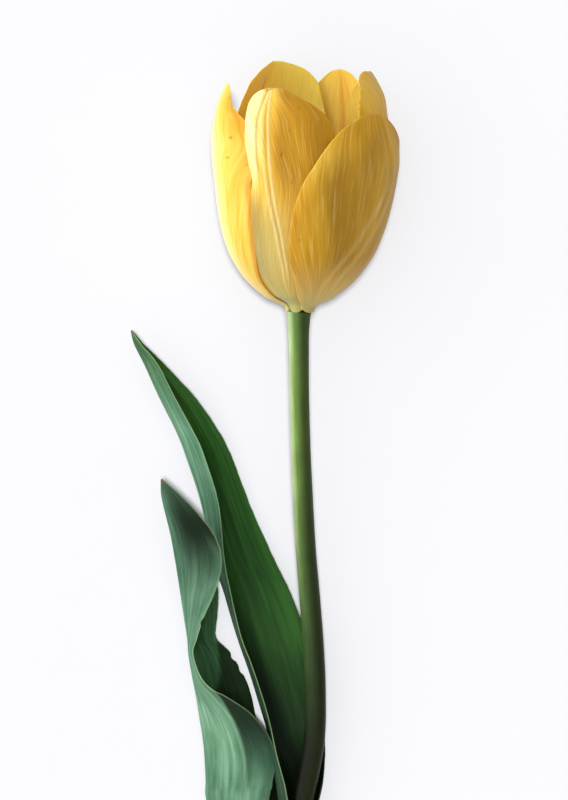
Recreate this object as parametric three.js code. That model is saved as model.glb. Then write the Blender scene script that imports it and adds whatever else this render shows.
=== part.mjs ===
import * as THREE from 'three';

// A cut tulip lying on a table. Millimetres, +Z up, +Y from the cut end of the stem towards the bloom.
// Each piece is worked out from the stem's axis and from the sizes below.

// ---- Driving sizes ----
const BLOOM_HEIGHT = 75;       // foot of the bloom to about the tips of its tepals
const BLOOM_RADIUS = 28.4;     // at the belly
const BLOOM_PITCH = 5.5;       // degrees that the mouth is lifted off the table
const BLOOM_LEAN = 0.052;      // sideways lean of the bloom for each mm of height
const TEPAL_THICKNESS = 0.8;
const STEM_LENGTH = 222;       // cut end to the foot of the bloom
const STEM_RADIUS = 3.2;       // at the middle of its length
const LEAF_THICKNESS = 1.1;
const FILAMENT_RADIUS = 0.55;
const ANTHER_RADIUS = 1.15;
const PISTIL_RADIUS = 2.3;

// ---- Clearances ----
const GAP = 0.3;               // between pieces that touch
const FOOT_GAP = 0.35;         // between the foot of a tepal and the shoulder of the stem

// ---- Sizes that follow from those above ----
const BLOOM_AXIS_Z = BLOOM_RADIUS * 0.859;    // the bloom's belly rests on the table
const RECEPTACLE_RADIUS = STEM_RADIUS * 0.85;
const RECEPTACLE_HEIGHT = 2.2;
const INNER_FOOT_RADIUS = RECEPTACLE_RADIUS + GAP + TEPAL_THICKNESS / 2;
const LAYER_STEP = TEPAL_THICKNESS + GAP;
const OUTER_FOOT_RADIUS = INNER_FOOT_RADIUS + LAYER_STEP;
const FOOT_HEIGHT = -0.4;
const SHOULDER_HEIGHT = FOOT_HEIGHT - FOOT_GAP;
const STEM_END_RADIUS = STEM_RADIUS * 1.16;
const STEM_SKIN = GAP + LEAF_THICKNESS / 2;

// ---- Small mathematics shared by the pieces ----
const radians = (degrees) => degrees * Math.PI / 180;
const mix = (a, b, t) => a + (b - a) * t;

function ease(from, to, x) {
  const t = Math.min(Math.max((x - from) / (to - from), 0), 1);
  return t * t * (3 - 2 * t);
}

// A smooth row of numbers at place t, from 0 at the first row to 1 at the last.
function along(rows, t) {
  const last = rows.length - 1;
  const place = Math.min(Math.max(t, 0), 1) * last;
  const i = Math.min(Math.floor(place), last - 1);
  const f = place - i;
  return rows[0].map((_, k) => {
    const b = rows[i][k];
    const c = rows[i + 1][k];
    const a = i > 0 ? rows[i - 1][k] : 2 * b - c;
    const d = i + 2 <= last ? rows[i + 2][k] : 2 * c - b;
    const bend = (2 * a - 5 * b + 4 * c - d) * f * f + (3 * b - a - 3 * c + d) * f * f * f;
    return 0.5 * (2 * b + (c - a) * f + bend);
  });
}

// A smooth value at x through rows of [x, value] with x rising.
function through(rows, x) {
  const last = rows.length - 1;
  const at = Math.min(Math.max(x, rows[0][0]), rows[last][0]);
  let i = 0;
  while (i < last - 1 && at > rows[i + 1][0]) i += 1;
  const slope = (j) => (rows[j + 1][1] - rows[j][1]) / (rows[j + 1][0] - rows[j][0]);
  const tangent = (j) => {
    if (j === 0) return slope(0);
    if (j === last) return slope(last - 1);
    const before = rows[j][0] - rows[j - 1][0];
    const after = rows[j + 1][0] - rows[j][0];
    return (slope(j - 1) * after + slope(j) * before) / (before + after);
  };
  const span = rows[i + 1][0] - rows[i][0];
  const s = (at - rows[i][0]) / span;
  return (1 + 2 * s) * (1 - s) ** 2 * rows[i][1] + s * (1 - s) ** 2 * span * tangent(i)
    + s * s * (3 - 2 * s) * rows[i + 1][1] + s * s * (s - 1) * span * tangent(i + 1);
}

// ---- Closed bodies ----
function closedBody(points, faces) {
  const geometry = new THREE.BufferGeometry();
  const flat = points.flatMap((p) => [p.x, p.y, p.z]);
  geometry.setAttribute('position', new THREE.Float32BufferAttribute(flat, 3));
  geometry.setIndex(faces.flat());
  return geometry;
}

function quad(faces, a, b, c, d) {
  faces.push([a, b, c], [a, c, d]);
}

// A thin closed shell around a grid of points on its middle surface: rows run along, columns across.
// thickness(u, v) gives the whole thickness; the front is the side that columns x rows point to.
function shell(grid, thickness) {
  const rows = grid.length;
  const columns = grid[0].length;
  const front = [];
  const back = [];
  for (let i = 0; i < rows; i += 1) {
    for (let j = 0; j < columns; j += 1) {
      const up = grid[Math.min(i + 1, rows - 1)][j].clone().sub(grid[Math.max(i - 1, 0)][j]);
      const side = grid[i][Math.min(j + 1, columns - 1)].clone().sub(grid[i][Math.max(j - 1, 0)]);
      const out = side.cross(up).normalize().multiplyScalar(thickness(i / (rows - 1), j / (columns - 1)) / 2);
      front.push(grid[i][j].clone().add(out));
      back.push(grid[i][j].clone().sub(out));
    }
  }
  const faces = [];
  const shift = rows * columns;
  const at = (i, j) => i * columns + j;
  for (let i = 0; i < rows - 1; i += 1) {
    for (let j = 0; j < columns - 1; j += 1) {
      quad(faces, at(i, j), at(i, j + 1), at(i + 1, j + 1), at(i + 1, j));
      quad(faces, shift + at(i, j), shift + at(i + 1, j), shift + at(i + 1, j + 1), shift + at(i, j + 1));
    }
    quad(faces, at(i, 0), at(i + 1, 0), shift + at(i + 1, 0), shift + at(i, 0));
    const j = columns - 1;
    quad(faces, at(i + 1, j), at(i, j), shift + at(i, j), shift + at(i + 1, j));
  }
  for (let j = 0; j < columns - 1; j += 1) {
    const i = rows - 1;
    quad(faces, at(0, j + 1), at(0, j), shift + at(0, j), shift + at(0, j + 1));
    quad(faces, at(i, j), at(i, j + 1), shift + at(i, j + 1), shift + at(i, j));
  }
  return closedBody(front.concat(back), faces);
}

// A closed round body swept along a path. stations: { centre, radius(angle) }, all set across `forward`.
function sweep(stations, sides) {
  const points = [];
  const faces = [];
  stations.forEach(({ centre, radius, right, up }) => {
    for (let k = 0; k < sides; k += 1) {
      const angle = 2 * Math.PI * k / sides;
      const reach = radius(angle);
      points.push(centre.clone()
        .addScaledVector(right, reach * Math.cos(angle))
        .addScaledVector(up, reach * Math.sin(angle)));
    }
  });
  for (let i = 0; i < stations.length - 1; i += 1) {
    for (let k = 0; k < sides; k += 1) {
      const next = (k + 1) % sides;
      quad(faces, i * sides + k, i * sides + next, (i + 1) * sides + next, (i + 1) * sides + k);
    }
  }
  const first = points.push(stations[0].centre.clone()) - 1;
  const last = points.push(stations[stations.length - 1].centre.clone()) - 1;
  const top = (stations.length - 1) * sides;
  for (let k = 0; k < sides; k += 1) {
    const next = (k + 1) % sides;
    faces.push([first, next, k], [last, top + k, top + next]);
  }
  return closedBody(points, faces);
}

// ---- Bloom frame: height runs up the bloom's axis, azimuth 0 faces up off the table ----
const AXIS = new THREE.Vector3(BLOOM_LEAN, Math.cos(radians(BLOOM_PITCH)), Math.sin(radians(BLOOM_PITCH)));
const FACE = new THREE.Vector3(0, -Math.sin(radians(BLOOM_PITCH)), Math.cos(radians(BLOOM_PITCH)));
const SIDE = new THREE.Vector3(1, 0, 0);
const FOOT = new THREE.Vector3(0, 0, BLOOM_AXIS_Z);

function inBloom(radius, azimuth, height) {
  return FOOT.clone()
    .addScaledVector(AXIS, height)
    .addScaledVector(FACE, radius * Math.cos(radians(azimuth)))
    .addScaledVector(SIDE, radius * Math.sin(radians(azimuth)));
}

// Belly of the bloom: [share of the height, share of the belly radius]
const BELLY = [[0.013, 0.21], [0.045, 0.34], [0.11, 0.55], [0.21, 0.75], [0.33, 0.875], [0.47, 0.955],
  [0.63, 1], [0.74, 0.995], [0.85, 0.955], [0.94, 0.895], [1.02, 0.81]];

// Outer surface of the bloom's wall: radius at a height, closing to the foot at the receptacle.
function wallRadius(height, foot) {
  const belly = BLOOM_RADIUS * through(BELLY, height / BLOOM_HEIGHT);
  return mix(foot, belly, ease(FOOT_HEIGHT, 4, height));
}

// ---- Tepals ----
// rows: [share of the bloom's height, left azimuth, right azimuth] from the foot to the tip.
// push(share, across): how far the surface stands out from its layer, in mm; across is -1 to 1.
const TEPALS = {
  tepal_outer_right: {
    layer: 0,
    rows: [[-0.0053, 14, 80], [0.03, 0, 96], [0.08, -5, 103], [0.17, -9, 106], [0.26, -10.5, 108],
      [0.36, -9.5, 108], [0.45, -6.5, 106], [0.53, -2, 103], [0.61, 5, 97], [0.68, 12, 88],
      [0.735, 20, 77], [0.77, 28, 68], [0.795, 37, 58], [0.805, 44, 50]],
    push: (share) => -1.1 * ease(0.58, 0.78, share),
  },
  tepal_outer_left: {
    layer: 0,
    rows: [[-0.0053, -116, -58], [0.035, -127, -57], [0.08, -131, -56], [0.14, -134, -50],
      [0.21, -137, -44], [0.29, -139, -41], [0.37, -140, -39.5], [0.45, -139, -39], [0.52, -137, -39.9],
      [0.6, -133, -39.9], [0.68, -128, -37.5], [0.75, -121, -41], [0.81, -114, -50], [0.86, -106, -58],
      [0.905, -98, -69], [0.935, -88, -81]],
    push: (share, across) => 1.1 * ease(0.5, 0.75, share) - 2.8 * ease(0.8, 0.94, share)
      - 4.3 * ease(0.53, 0.66, share) * (1 - ease(0.76, 0.87, share)) * ease(0.35, 1, across),
  },
  tepal_outer_back: {
    layer: 0,
    rows: [[-0.0053, 130, 192], [0.04, 123, 199], [0.11, 118, 204], [0.23, 114, 208], [0.41, 114, 208],
      [0.6, 117, 204], [0.74, 124, 196], [0.85, 134, 185], [0.93, 143, 175], [0.975, 150, 167],
      [0.99, 157, 160]],
    push: () => 0,
  },
  tepal_inner_front: {
    layer: 1,
    rows: [[-0.0053, -42, 12], [0.05, -52, 23], [0.12, -57, 29], [0.26, -53, 32], [0.38, -46, 32],
      [0.46, -41.5, 30], [0.53, -38.7, 27], [0.6, -38.8, 24], [0.67, -40.8, 20], [0.735, -41.3, 14.5],
      [0.79, -41.6, 8], [0.84, -41, -1], [0.88, -38, -11], [0.905, -33, -20], [0.915, -29, -25]],
    push: (share, across) => 1.1 * ease(0.52, 0.66, share) * ease(-0.3, -1, across)
      - 1.7 * ease(0.3, 0.55, share) * ease(0.1, 1, across),
  },
  tepal_inner_left: {
    layer: 1,
    rows: [[-0.0053, -182, -128], [0.05, -192, -120], [0.12, -198, -113], [0.26, -203, -107],
      [0.46, -202, -107], [0.66, -197, -113], [0.8, -192, -119], [0.9, -188, -125], [0.955, -183, -131],
      [0.99, -175, -137], [1.012, -166, -142], [1.025, -154, -148]],
    push: (share) => -0.4 * ease(0.1, 0.3, share) - 0.5 * ease(0.8, 1, share),
  },
  tepal_inner_right: {
    layer: 1,
    rows: [[-0.0053, 68, 122], [0.05, 60, 133], [0.12, 55, 140], [0.26, 48, 148], [0.46, 42, 153],
      [0.66, 38, 153], [0.8, 38, 151], [0.88, 40, 146], [0.93, 43, 137], [0.965, 48, 120], [0.98, 58, 85]],
    push: (share) => -0.4 * ease(0.1, 0.3, share) - 0.9 * ease(0.45, 0.7, share) - 3.6 * ease(0.84, 1, share),
  },
};
const TEPAL_STEPS = { along: 20, across: 10 };
const FOOT_CROWDING = 1.35;    // above 1 the rows of points lie closer together at the foot

function tepalPoint(tepal, u, v) {
  const [share, left, right] = along(tepal.rows, u);
  const across = 2 * v - 1;
  const azimuth = mix(left, right, v);
  const height = share * BLOOM_HEIGHT;
  const radius = wallRadius(height, OUTER_FOOT_RADIUS);
  const lean = wallRadius(height + 0.5, OUTER_FOOT_RADIUS) - wallRadius(height - 0.5, OUTER_FOOT_RADIUS);
  const inward = tepal.layer * LAYER_STEP * mix(1, 1.45, ease(0.03, 0.2, share));
  const slant = Math.hypot(1, lean);
  const out = tepal.push(share, across);
  return inBloom(radius - inward / slant + out, azimuth, height + inward * lean / slant);
}

function tepalGeometry(tepal) {
  const grid = [];
  for (let i = 0; i <= TEPAL_STEPS.along; i += 1) {
    const row = [];
    for (let j = 0; j <= TEPAL_STEPS.across; j += 1) {
      row.push(tepalPoint(tepal, (i / TEPAL_STEPS.along) ** FOOT_CROWDING, j / TEPAL_STEPS.across));
    }
    grid.push(row);
  }
  const edge = 0.5;
  return shell(grid, (u, v) => TEPAL_THICKNESS * (1 - edge * Math.abs(2 * v - 1) ** 3) * (1 - edge * u ** 6));
}

// ---- Stem ----
// Sideways wander of the stem's axis: [share of the length from the foot of the bloom, mm].
const STEM_WANDER = [[0, -0.2], [0.1, 0], [0.25, 1], [0.34, 2.1], [0.41, 3.4], [0.475, 4.5],
  [0.545, 5.1], [0.61, 4.7], [0.66, 2.8], [0.71, 0.4], [0.76, -1.2], [0.82, -2.1], [0.91, -2.3], [1, -2]];
// Stoutness of the stem: [share of the length, share of STEM_RADIUS].
const STEM_STOUTNESS = [[0.012, 1.13], [0.03, 1.02], [0.06, 0.98], [0.3, 0.99], [0.45, 1.02], [0.7, 1.06],
  [1, STEM_END_RADIUS / STEM_RADIUS]];

function stemAxis(share) {
  const z = mix(BLOOM_AXIS_Z, STEM_END_RADIUS + 0.1, share);
  return new THREE.Vector3(through(STEM_WANDER, share), -share * STEM_LENGTH, z);
}

function stemRadius(share) {
  return STEM_RADIUS * through(STEM_STOUTNESS, share);
}

function stemGeometry() {
  const stations = [];
  const steps = 30;
  const shoulder = -SHOULDER_HEIGHT / STEM_LENGTH;
  const up = new THREE.Vector3(0, 0, 1);
  for (let i = 0; i <= steps; i += 1) {
    const share = mix(1, shoulder + 0.006, i / steps);
    const reach = stemRadius(share);
    stations.push({ centre: stemAxis(share), radius: () => reach, right: SIDE.clone().negate(), up });
  }
  // The receptacle: a rounded shoulder, then a stub that stands up inside the tepals.
  const stub = [[SHOULDER_HEIGHT - 0.5, STEM_RADIUS * 1.17], [SHOULDER_HEIGHT, STEM_RADIUS * 1.17],
    [SHOULDER_HEIGHT + 0.02, RECEPTACLE_RADIUS], [RECEPTACLE_HEIGHT - 0.4, RECEPTACLE_RADIUS],
    [RECEPTACLE_HEIGHT, RECEPTACLE_RADIUS - 0.4]];
  stub.forEach(([height, reach]) => {
    stations.push({ centre: inBloom(0, 0, height), radius: () => reach, right: SIDE.clone().negate(), up: FACE });
  });
  return sweep(stations, 14);
}

// ---- Leaves ----
// Each leaf is a folded channel. rows run from the clasping foot to the tip:
// [mm below the foot of the bloom, then for the near margin, the keel and the far margin:
//  mm to the right of the stem's axis, mm over the stem's axis].
const LEAVES = {
  leaf_upper: {
    clasp: [150, 132],
    fold: 0.22,
    rows: [[168.5, -2.8, 3.2, -3.4, -2.7, 4.2, 0.9], [160, -3.6, 2.9, -4.8, -2.8, 4.4, 0.6],
      [151, -6.1, 1.6, -7.7, -4.0, 4.6, -0.6], [138, -11.0, -1.1, -13.2, -7.5, 3.9, -3.4],
      [125, -14.9, -2.8, -17.6, -9.7, 2.4, -4.8], [111.5, -19.3, -5.0, -21.7, -11.4, 0.2, -5.2],
      [102, -22.0, -6.3, -24.2, -12.8, -1.8, -6.2], [88, -23.5, -8.1, -27.2, -14.4, -6.0, -9.1],
      [79, -23.7, -8.9, -28.9, -15.2, -9.5, -11.9], [61, -24.9, -10.0, -31.7, -16.7, -16.2, -14.5],
      [45.5, -28.9, -10.0, -36.0, -16.8, -21.4, -15.0], [37.7, -32.3, -9.7, -38.8, -16.2, -25.3, -14.7],
      [28.2, -37.4, -9.5, -43.3, -14.5, -31.6, -14.0], [17, -43.5, -9.6, -48.3, -12.6, -41.7, -12.6],
      [10.6, -49.1, -9.6, -51.4, -11.4, -48.4, -11.3], [6.4, -52.1, -10.4, -52.5, -10.8, -52.0, -10.8]],
  },
  leaf_lower: {
    clasp: [190, 180],
    fold: 0.22,
    rows: [[191, -2.8, 3.4, -3.5, -2.8, 4.3, 0.9], [183, -4.2, 3.6, -11.0, -3.8, 4.6, -2.4],
      [171, -6.8, 3.4, -22.0, -6.0, 2.2, -6.6], [155, -8.9, 3.2, -29.8, -8.0, -0.6, -7.9],
      [149, -9.8, 3.2, -31.4, -8.7, -3.2, -8.4], [140, -11.4, 2.8, -33.7, -9.8, -8.7, -9.2],
      [130.5, -17.6, 1.4, -36.0, -10.8, -16.0, -10.2], [122.5, -26.1, -1.0, -37.2, -11.5, -18.9, -10.8],
      [116.5, -33.4, -3.0, -38.0, -12.0, -21.7, -11.2], [108, -36.6, -4.5, -38.8, -12.4, -26.6, -11.1],
      [96.5, -32.5, -3.4, -39.9, -11.6, -27.9, -8.8], [87.5, -27.7, -1.7, -40.5, -9.8, -27.4, -6.6],
      [79, -25.4, 0.1, -41.0, -7.9, -30.5, -5.4], [71, -27.0, 0.9, -41.7, -6.1, -34.1, -5.1],
      [62.8, -33.1, 0.6, -43.1, -3.9, -39.0, -4.2], [57.5, -38.2, -0.4, -43.9, -2.4, -41.7, -2.9],
      [52.9, -43.5, -1.2, -43.9, -1.6, -43.4, -1.7]],
  },
};
const LEAF_STEPS = { along: 30, across: 10 };

// A point of a leaf's middle surface. v is 0 at the near margin, 0.5 at the keel and 1 at the far margin.
function leafPoint(leaf, u, v) {
  const [below, nearX, nearZ, keelX, keelZ, farX, farZ] = along(leaf.rows, u);
  const share = below / STEM_LENGTH;
  const axis = stemAxis(share);
  // The lower leaf also goes round the foot of the upper one.
  const nested = leaf === LEAVES.leaf_lower ? ease(183, 176, below) * (LEAF_THICKNESS + GAP) : 0;
  const skin = stemRadius(share) + STEM_SKIN + nested;
  const w = 2 * v - 1;
  const round = Math.sqrt(w * w + leaf.fold ** 2);
  const full = Math.sqrt(1 + leaf.fold ** 2);
  const base = leaf.fold / 2;
  const near = ((round - w) / 2 - base) / ((full + 1) / 2 - base);
  const far = ((round + w) / 2 - base) / ((full + 1) / 2 - base);
  const flatX = keelX + (nearX - keelX) * near + (farX - keelX) * far;
  const flatZ = keelZ + (nearZ - keelZ) * near + (farZ - keelZ) * far;
  // Round the stem: the same three points as turns about the axis, counted from straight up.
  const turn = (x, z) => (Math.atan2(-x, z) + 2 * Math.PI) % (2 * Math.PI);
  const turnNear = turn(nearX, nearZ);
  const turnKeel = turn(keelX, keelZ);
  const turnFar = turn(farX, farZ);
  const angle = turnKeel + (turnNear - turnKeel) * near + (turnFar - turnKeel) * far;
  const reachKeel = Math.hypot(keelX, keelZ);
  const reachTo = Math.hypot(nearX, nearZ) * near + Math.hypot(farX, farZ) * far;
  const reach = reachTo + reachKeel * Math.max(1 - near - far, 0);
  const held = ease(leaf.clasp[1], leaf.clasp[0], below);
  const x = mix(flatX, -reach * Math.sin(angle), held);
  const z = mix(flatZ, reach * Math.cos(angle), held);
  // Nothing of a leaf comes nearer to the axis than the stem's skin and its clearance.
  const distance = Math.hypot(x, z);
  const clear = distance < skin + 4 ? Math.max(distance, skin) / distance : 1;
  return new THREE.Vector3(axis.x + x * clear, -below, axis.z + z * clear);
}

function leafGeometry(leaf) {
  const grid = [];
  for (let i = 0; i <= LEAF_STEPS.along; i += 1) {
    const row = [];
    for (let j = 0; j <= LEAF_STEPS.across; j += 1) {
      row.push(leafPoint(leaf, i / LEAF_STEPS.along, j / LEAF_STEPS.across));
    }
    grid.push(row);
  }
  const edge = 0.5;
  return shell(grid, (u, v) => LEAF_THICKNESS * (1 - edge * Math.abs(2 * v - 1) ** 4) * (1 - 0.4 * u ** 4));
}

// ---- Pistil and stamens, inside the bloom ----
const PISTIL_FOOT = RECEPTACLE_HEIGHT + GAP;
const PISTIL_HEIGHT = BLOOM_HEIGHT * 0.29;
const FILAMENT_RING = 3.3;
const STAMEN_LEAN = 0.36;      // mm outwards for each mm up
const FILAMENT_LENGTH = BLOOM_HEIGHT * 0.12;
const ANTHER_LENGTH = BLOOM_HEIGHT * 0.17;

function pistilGeometry() {
  // [share of the height, share of the radius, depth of the three lobes]
  const shape = [[0, 0.42, 0], [0.06, 0.62, 0.03], [0.25, 0.86, 0.07], [0.5, 0.9, 0.08], [0.72, 0.74, 0.08],
    [0.82, 0.62, 0.1], [0.88, 0.95, 0.18], [0.94, 1.25, 0.3], [0.985, 1.2, 0.34], [1, 0.7, 0.3]];
  const stations = shape.map(([share, stout, lobe]) => ({
    centre: inBloom(0, 0, PISTIL_FOOT + share * PISTIL_HEIGHT),
    radius: (angle) => PISTIL_RADIUS * stout * (1 + lobe * Math.cos(3 * angle)),
    right: SIDE.clone().negate(),
    up: FACE,
  }));
  return sweep(stations, 12);
}

// A slender upright body in the bloom, from one height to another on a ring that leans outwards.
function stamenPart(azimuth, from, to, stoutness) {
  const turn = radians(azimuth);
  const out = FACE.clone().multiplyScalar(Math.cos(turn)).addScaledVector(SIDE, Math.sin(turn));
  const round = FACE.clone().multiplyScalar(Math.sin(turn)).addScaledVector(SIDE, -Math.cos(turn));
  const stations = stoutness.map(([share, radial, sideways]) => {
    const height = mix(from, to, share);
    const ring = FILAMENT_RING + STAMEN_LEAN * (height - PISTIL_FOOT);
    return {
      centre: inBloom(ring, azimuth, height),
      radius: (angle) => 1 / Math.hypot(Math.cos(angle) / sideways, Math.sin(angle) / radial),
      right: round,
      up: out,
    };
  });
  return sweep(stations, 8);
}

function filamentGeometry(azimuth) {
  const thin = FILAMENT_RADIUS * 0.6;
  const stout = FILAMENT_RADIUS;
  return stamenPart(azimuth, PISTIL_FOOT, PISTIL_FOOT + FILAMENT_LENGTH,
    [[0, stout, stout], [0.15, stout, stout * 1.3], [0.6, stout, stout], [1, thin, thin]]);
}

function antherGeometry(azimuth) {
  const from = PISTIL_FOOT + FILAMENT_LENGTH + GAP;
  const wide = ANTHER_RADIUS;
  return stamenPart(azimuth, from, from + ANTHER_LENGTH, [[0, wide * 0.35, wide * 0.5], [0.06, wide * 0.7, wide * 0.9],
    [0.3, wide * 0.85, wide], [0.7, wide * 0.8, wide * 0.95], [0.94, wide * 0.5, wide * 0.6], [1, wide * 0.2, wide * 0.3]]);
}

// ---- Assembly ----
const group = new THREE.Group();
group.name = 'cut_tulip';

function add(name, geometry, color, roughness) {
  const mesh = new THREE.Mesh(geometry, new THREE.MeshStandardMaterial({ color, roughness }));
  mesh.name = name;
  group.add(mesh);
}

add('stem', stemGeometry(), 0x7d9f55, 0.6);
Object.entries(TEPALS).forEach(([name, tepal]) => add(name, tepalGeometry(tepal), 0xe9bf4e, 0.55));
Object.entries(LEAVES).forEach(([name, leaf]) => add(name, leafGeometry(leaf), 0x4c7d58, 0.55));
add('pistil', pistilGeometry(), 0xbfcf7c, 0.6);
for (let k = 0; k < 6; k += 1) {
  const azimuth = 30 + 60 * k;
  add(`filament_${k + 1}`, filamentGeometry(azimuth), 0xe4dc9a, 0.6);
  add(`anther_${k + 1}`, antherGeometry(azimuth), 0xd9a92c, 0.8);
}

// The bottom centre of the whole box goes to the origin.
const box = new THREE.Box3().setFromObject(group);
const shift = new THREE.Vector3(-(box.min.x + box.max.x) / 2, -(box.min.y + box.max.y) / 2, -box.min.z);
group.children.forEach((mesh) => {
  mesh.geometry.translate(shift.x, shift.y, shift.z);
  mesh.geometry.computeVertexNormals();
});

export default group;
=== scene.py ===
import math

import bpy
import numpy as np
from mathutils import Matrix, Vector


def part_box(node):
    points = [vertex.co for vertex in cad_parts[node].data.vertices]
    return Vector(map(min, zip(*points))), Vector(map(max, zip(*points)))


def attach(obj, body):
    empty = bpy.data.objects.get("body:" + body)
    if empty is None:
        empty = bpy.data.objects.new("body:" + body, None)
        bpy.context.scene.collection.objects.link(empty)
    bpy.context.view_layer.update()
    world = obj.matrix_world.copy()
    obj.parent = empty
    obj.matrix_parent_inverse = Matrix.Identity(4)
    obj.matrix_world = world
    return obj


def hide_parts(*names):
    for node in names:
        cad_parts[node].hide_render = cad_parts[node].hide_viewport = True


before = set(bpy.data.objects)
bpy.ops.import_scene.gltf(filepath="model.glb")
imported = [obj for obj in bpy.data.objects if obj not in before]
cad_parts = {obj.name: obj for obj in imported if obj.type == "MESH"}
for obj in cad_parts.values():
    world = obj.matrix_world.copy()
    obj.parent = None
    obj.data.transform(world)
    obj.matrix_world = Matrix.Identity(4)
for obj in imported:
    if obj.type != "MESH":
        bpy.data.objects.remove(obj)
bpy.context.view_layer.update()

# ----------------------------------------
# Stem. One round fleshy stalk, cut square at its lower end and flared into the receptacle that
# the tepals grow from. It wanders a little from side to side, and rests on its cut end.
# Water-filled green tissue under a smooth waxy skin, with fine fibres that run its whole length.
# ----------------------------------------
MM = 0.001                     # metres; the sizes below are in mm
BLOOM_HEIGHT = 75.0            # foot of the bloom to about the tips of its tepals
BLOOM_RADIUS = 28.4
BLOOM_PITCH = math.radians(5.5)
BLOOM_LEAN = 0.052             # mm sideways for each mm of height
BLOOM_AXIS_Z = BLOOM_RADIUS * 0.859
STEM_LENGTH = 222.0
STEM_RADIUS = 3.2
STEM_END_RADIUS = STEM_RADIUS * 1.16
RECEPTACLE_RADIUS = STEM_RADIUS * 0.85
RECEPTACLE_HEIGHT = 2.2
SHOULDER_HEIGHT = -0.75
STEM_WANDER = [[0, -0.2], [0.1, 0], [0.25, 1], [0.34, 2.1], [0.41, 3.4], [0.475, 4.5], [0.545, 5.1],
    [0.61, 4.7], [0.66, 2.8], [0.71, 0.4], [0.76, -1.2], [0.82, -2.1], [0.91, -2.3], [1, -2]]
STEM_STOUTNESS = [[0.012, 1.13], [0.03, 1.02], [0.06, 0.98], [0.3, 0.99], [0.45, 1.02], [0.7, 1.06],
    [1, 1.16]]
STEM_STATIONS = 240
STEM_SIDES = 56

AXIS = np.array([BLOOM_LEAN, math.cos(BLOOM_PITCH), math.sin(BLOOM_PITCH)])
FACE = np.array([0, -math.sin(BLOOM_PITCH), math.cos(BLOOM_PITCH)])
SIDE = np.array([1.0, 0, 0])
FOOT = np.array([0, 0, BLOOM_AXIS_Z])


def ease(start, end, x):
    """0 before start, 1 after end and smooth between."""
    t = np.clip((np.asarray(x, float) - start) / (end - start), 0, 1)
    return t * t * (3 - 2 * t)


def fade(start, end, x):
    """1 before start, 0 after end and smooth between."""
    return 1 - ease(start, end, x)


def hump(x, middle, width):
    """1 at the middle, falling away smoothly over the width."""
    return np.exp(-((x - middle) / width) ** 2)


def through(rows, x):
    """A smooth value at each x through rows of (x, value) with x rising."""
    px, py = np.array(rows, float).T
    x = np.clip(np.asarray(x, float), px[0], px[-1])
    step = np.diff(px)
    slope = np.diff(py) / step
    inner = (slope[:-1] * step[1:] + slope[1:] * step[:-1]) / (step[:-1] + step[1:])
    tangent = np.concatenate([slope[:1], inner, slope[-1:]])
    i = np.clip(np.searchsorted(px, x, side="left") - 1, 0, len(step) - 1)
    s = (x - px[i]) / step[i]
    return ((1 + 2 * s) * (1 - s) ** 2 * py[i] + s * (1 - s) ** 2 * step[i] * tangent[i]
        + s * s * (3 - 2 * s) * py[i + 1] + s * s * (s - 1) * step[i] * tangent[i + 1])


def in_bloom(radius, azimuth, height):
    """Points in mm from the bloom's own radius, azimuth in degrees (0 faces up) and height."""
    turn = np.radians(azimuth)
    radius, turn, height = np.broadcast_arrays(radius, turn, height)
    return (FOOT + height[..., None] * AXIS + (radius * np.cos(turn))[..., None] * FACE
        + (radius * np.sin(turn))[..., None] * SIDE)


def stem_axis(share):
    share = np.asarray(share, float)
    z = BLOOM_AXIS_Z + (STEM_END_RADIUS + 0.1 - BLOOM_AXIS_Z) * share
    return np.stack([through(STEM_WANDER, share), -share * STEM_LENGTH, z], -1)


def stem_radius(share):
    return STEM_RADIUS * through(STEM_STOUTNESS, share)


stem_share = np.linspace(1, -SHOULDER_HEIGHT / STEM_LENGTH + 0.006, STEM_STATIONS)
stub_heights = np.array([SHOULDER_HEIGHT - 0.5, SHOULDER_HEIGHT - 0.12, SHOULDER_HEIGHT, SHOULDER_HEIGHT
    + 0.03, 0.6, RECEPTACLE_HEIGHT - 0.35, RECEPTACLE_HEIGHT])
stub_radii = np.array([STEM_RADIUS * 1.17, STEM_RADIUS * 1.17, STEM_RADIUS * 1.1, RECEPTACLE_RADIUS,
    RECEPTACLE_RADIUS, RECEPTACLE_RADIUS, RECEPTACLE_RADIUS - 0.4])
stem_path = np.vstack([stem_axis(stem_share), in_bloom(0, 0, stub_heights)])
stem_stoutness = np.concatenate([stem_radius(stem_share), stub_radii])

# The CAD stem's box says where the flower stands in the row's frame.
reach = stem_stoutness[:, None] * [1, 0, 1]
own_middle = ((stem_path - reach).min(axis=0) + (stem_path + reach).max(axis=0)) / 2
PLACE = np.mean([list(corner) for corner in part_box("stem")], axis=0) / MM - own_middle


def metres(points):
    """Points worked out round the bloom's foot, in mm, as points in the row's frame, in metres."""
    return (np.asarray(points, float) + PLACE) * MM


def add_node(tree, kind, settings=None, inputs=None):
    """One node with its settings, its values and its links. A node given as a value is its first output."""
    made = tree.nodes.new(kind if "Node" in kind else "ShaderNode" + kind)
    for name, value in (settings or {}).items():
        setattr(made, name, value)
    for key, value in (inputs or {}).items():
        if isinstance(value, bpy.types.Node):
            value = value.outputs[0]
        if isinstance(value, bpy.types.NodeSocket):
            tree.links.new(value, made.inputs[key])
        else:
            made.inputs[key].default_value = value
    return made


def linear(hex_colour):
    """An sRGB hex colour as linear red, green, blue and a solid alpha."""
    parts = [int(hex_colour[i:i + 2], 16) / 255 for i in (0, 2, 4)]
    return tuple(p / 12.92 if p <= 0.04045 else ((p + 0.055) / 1.055) ** 2.4 for p in parts) + (1.0,)


def new_material(name):
    """An empty material, its nodes and the object's own coordinates."""
    material = bpy.data.materials.new(name)
    material.use_nodes = True
    tree = material.node_tree
    tree.nodes.clear()
    return material, tree, add_node(tree, "TexCoord").outputs["Object"]


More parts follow.
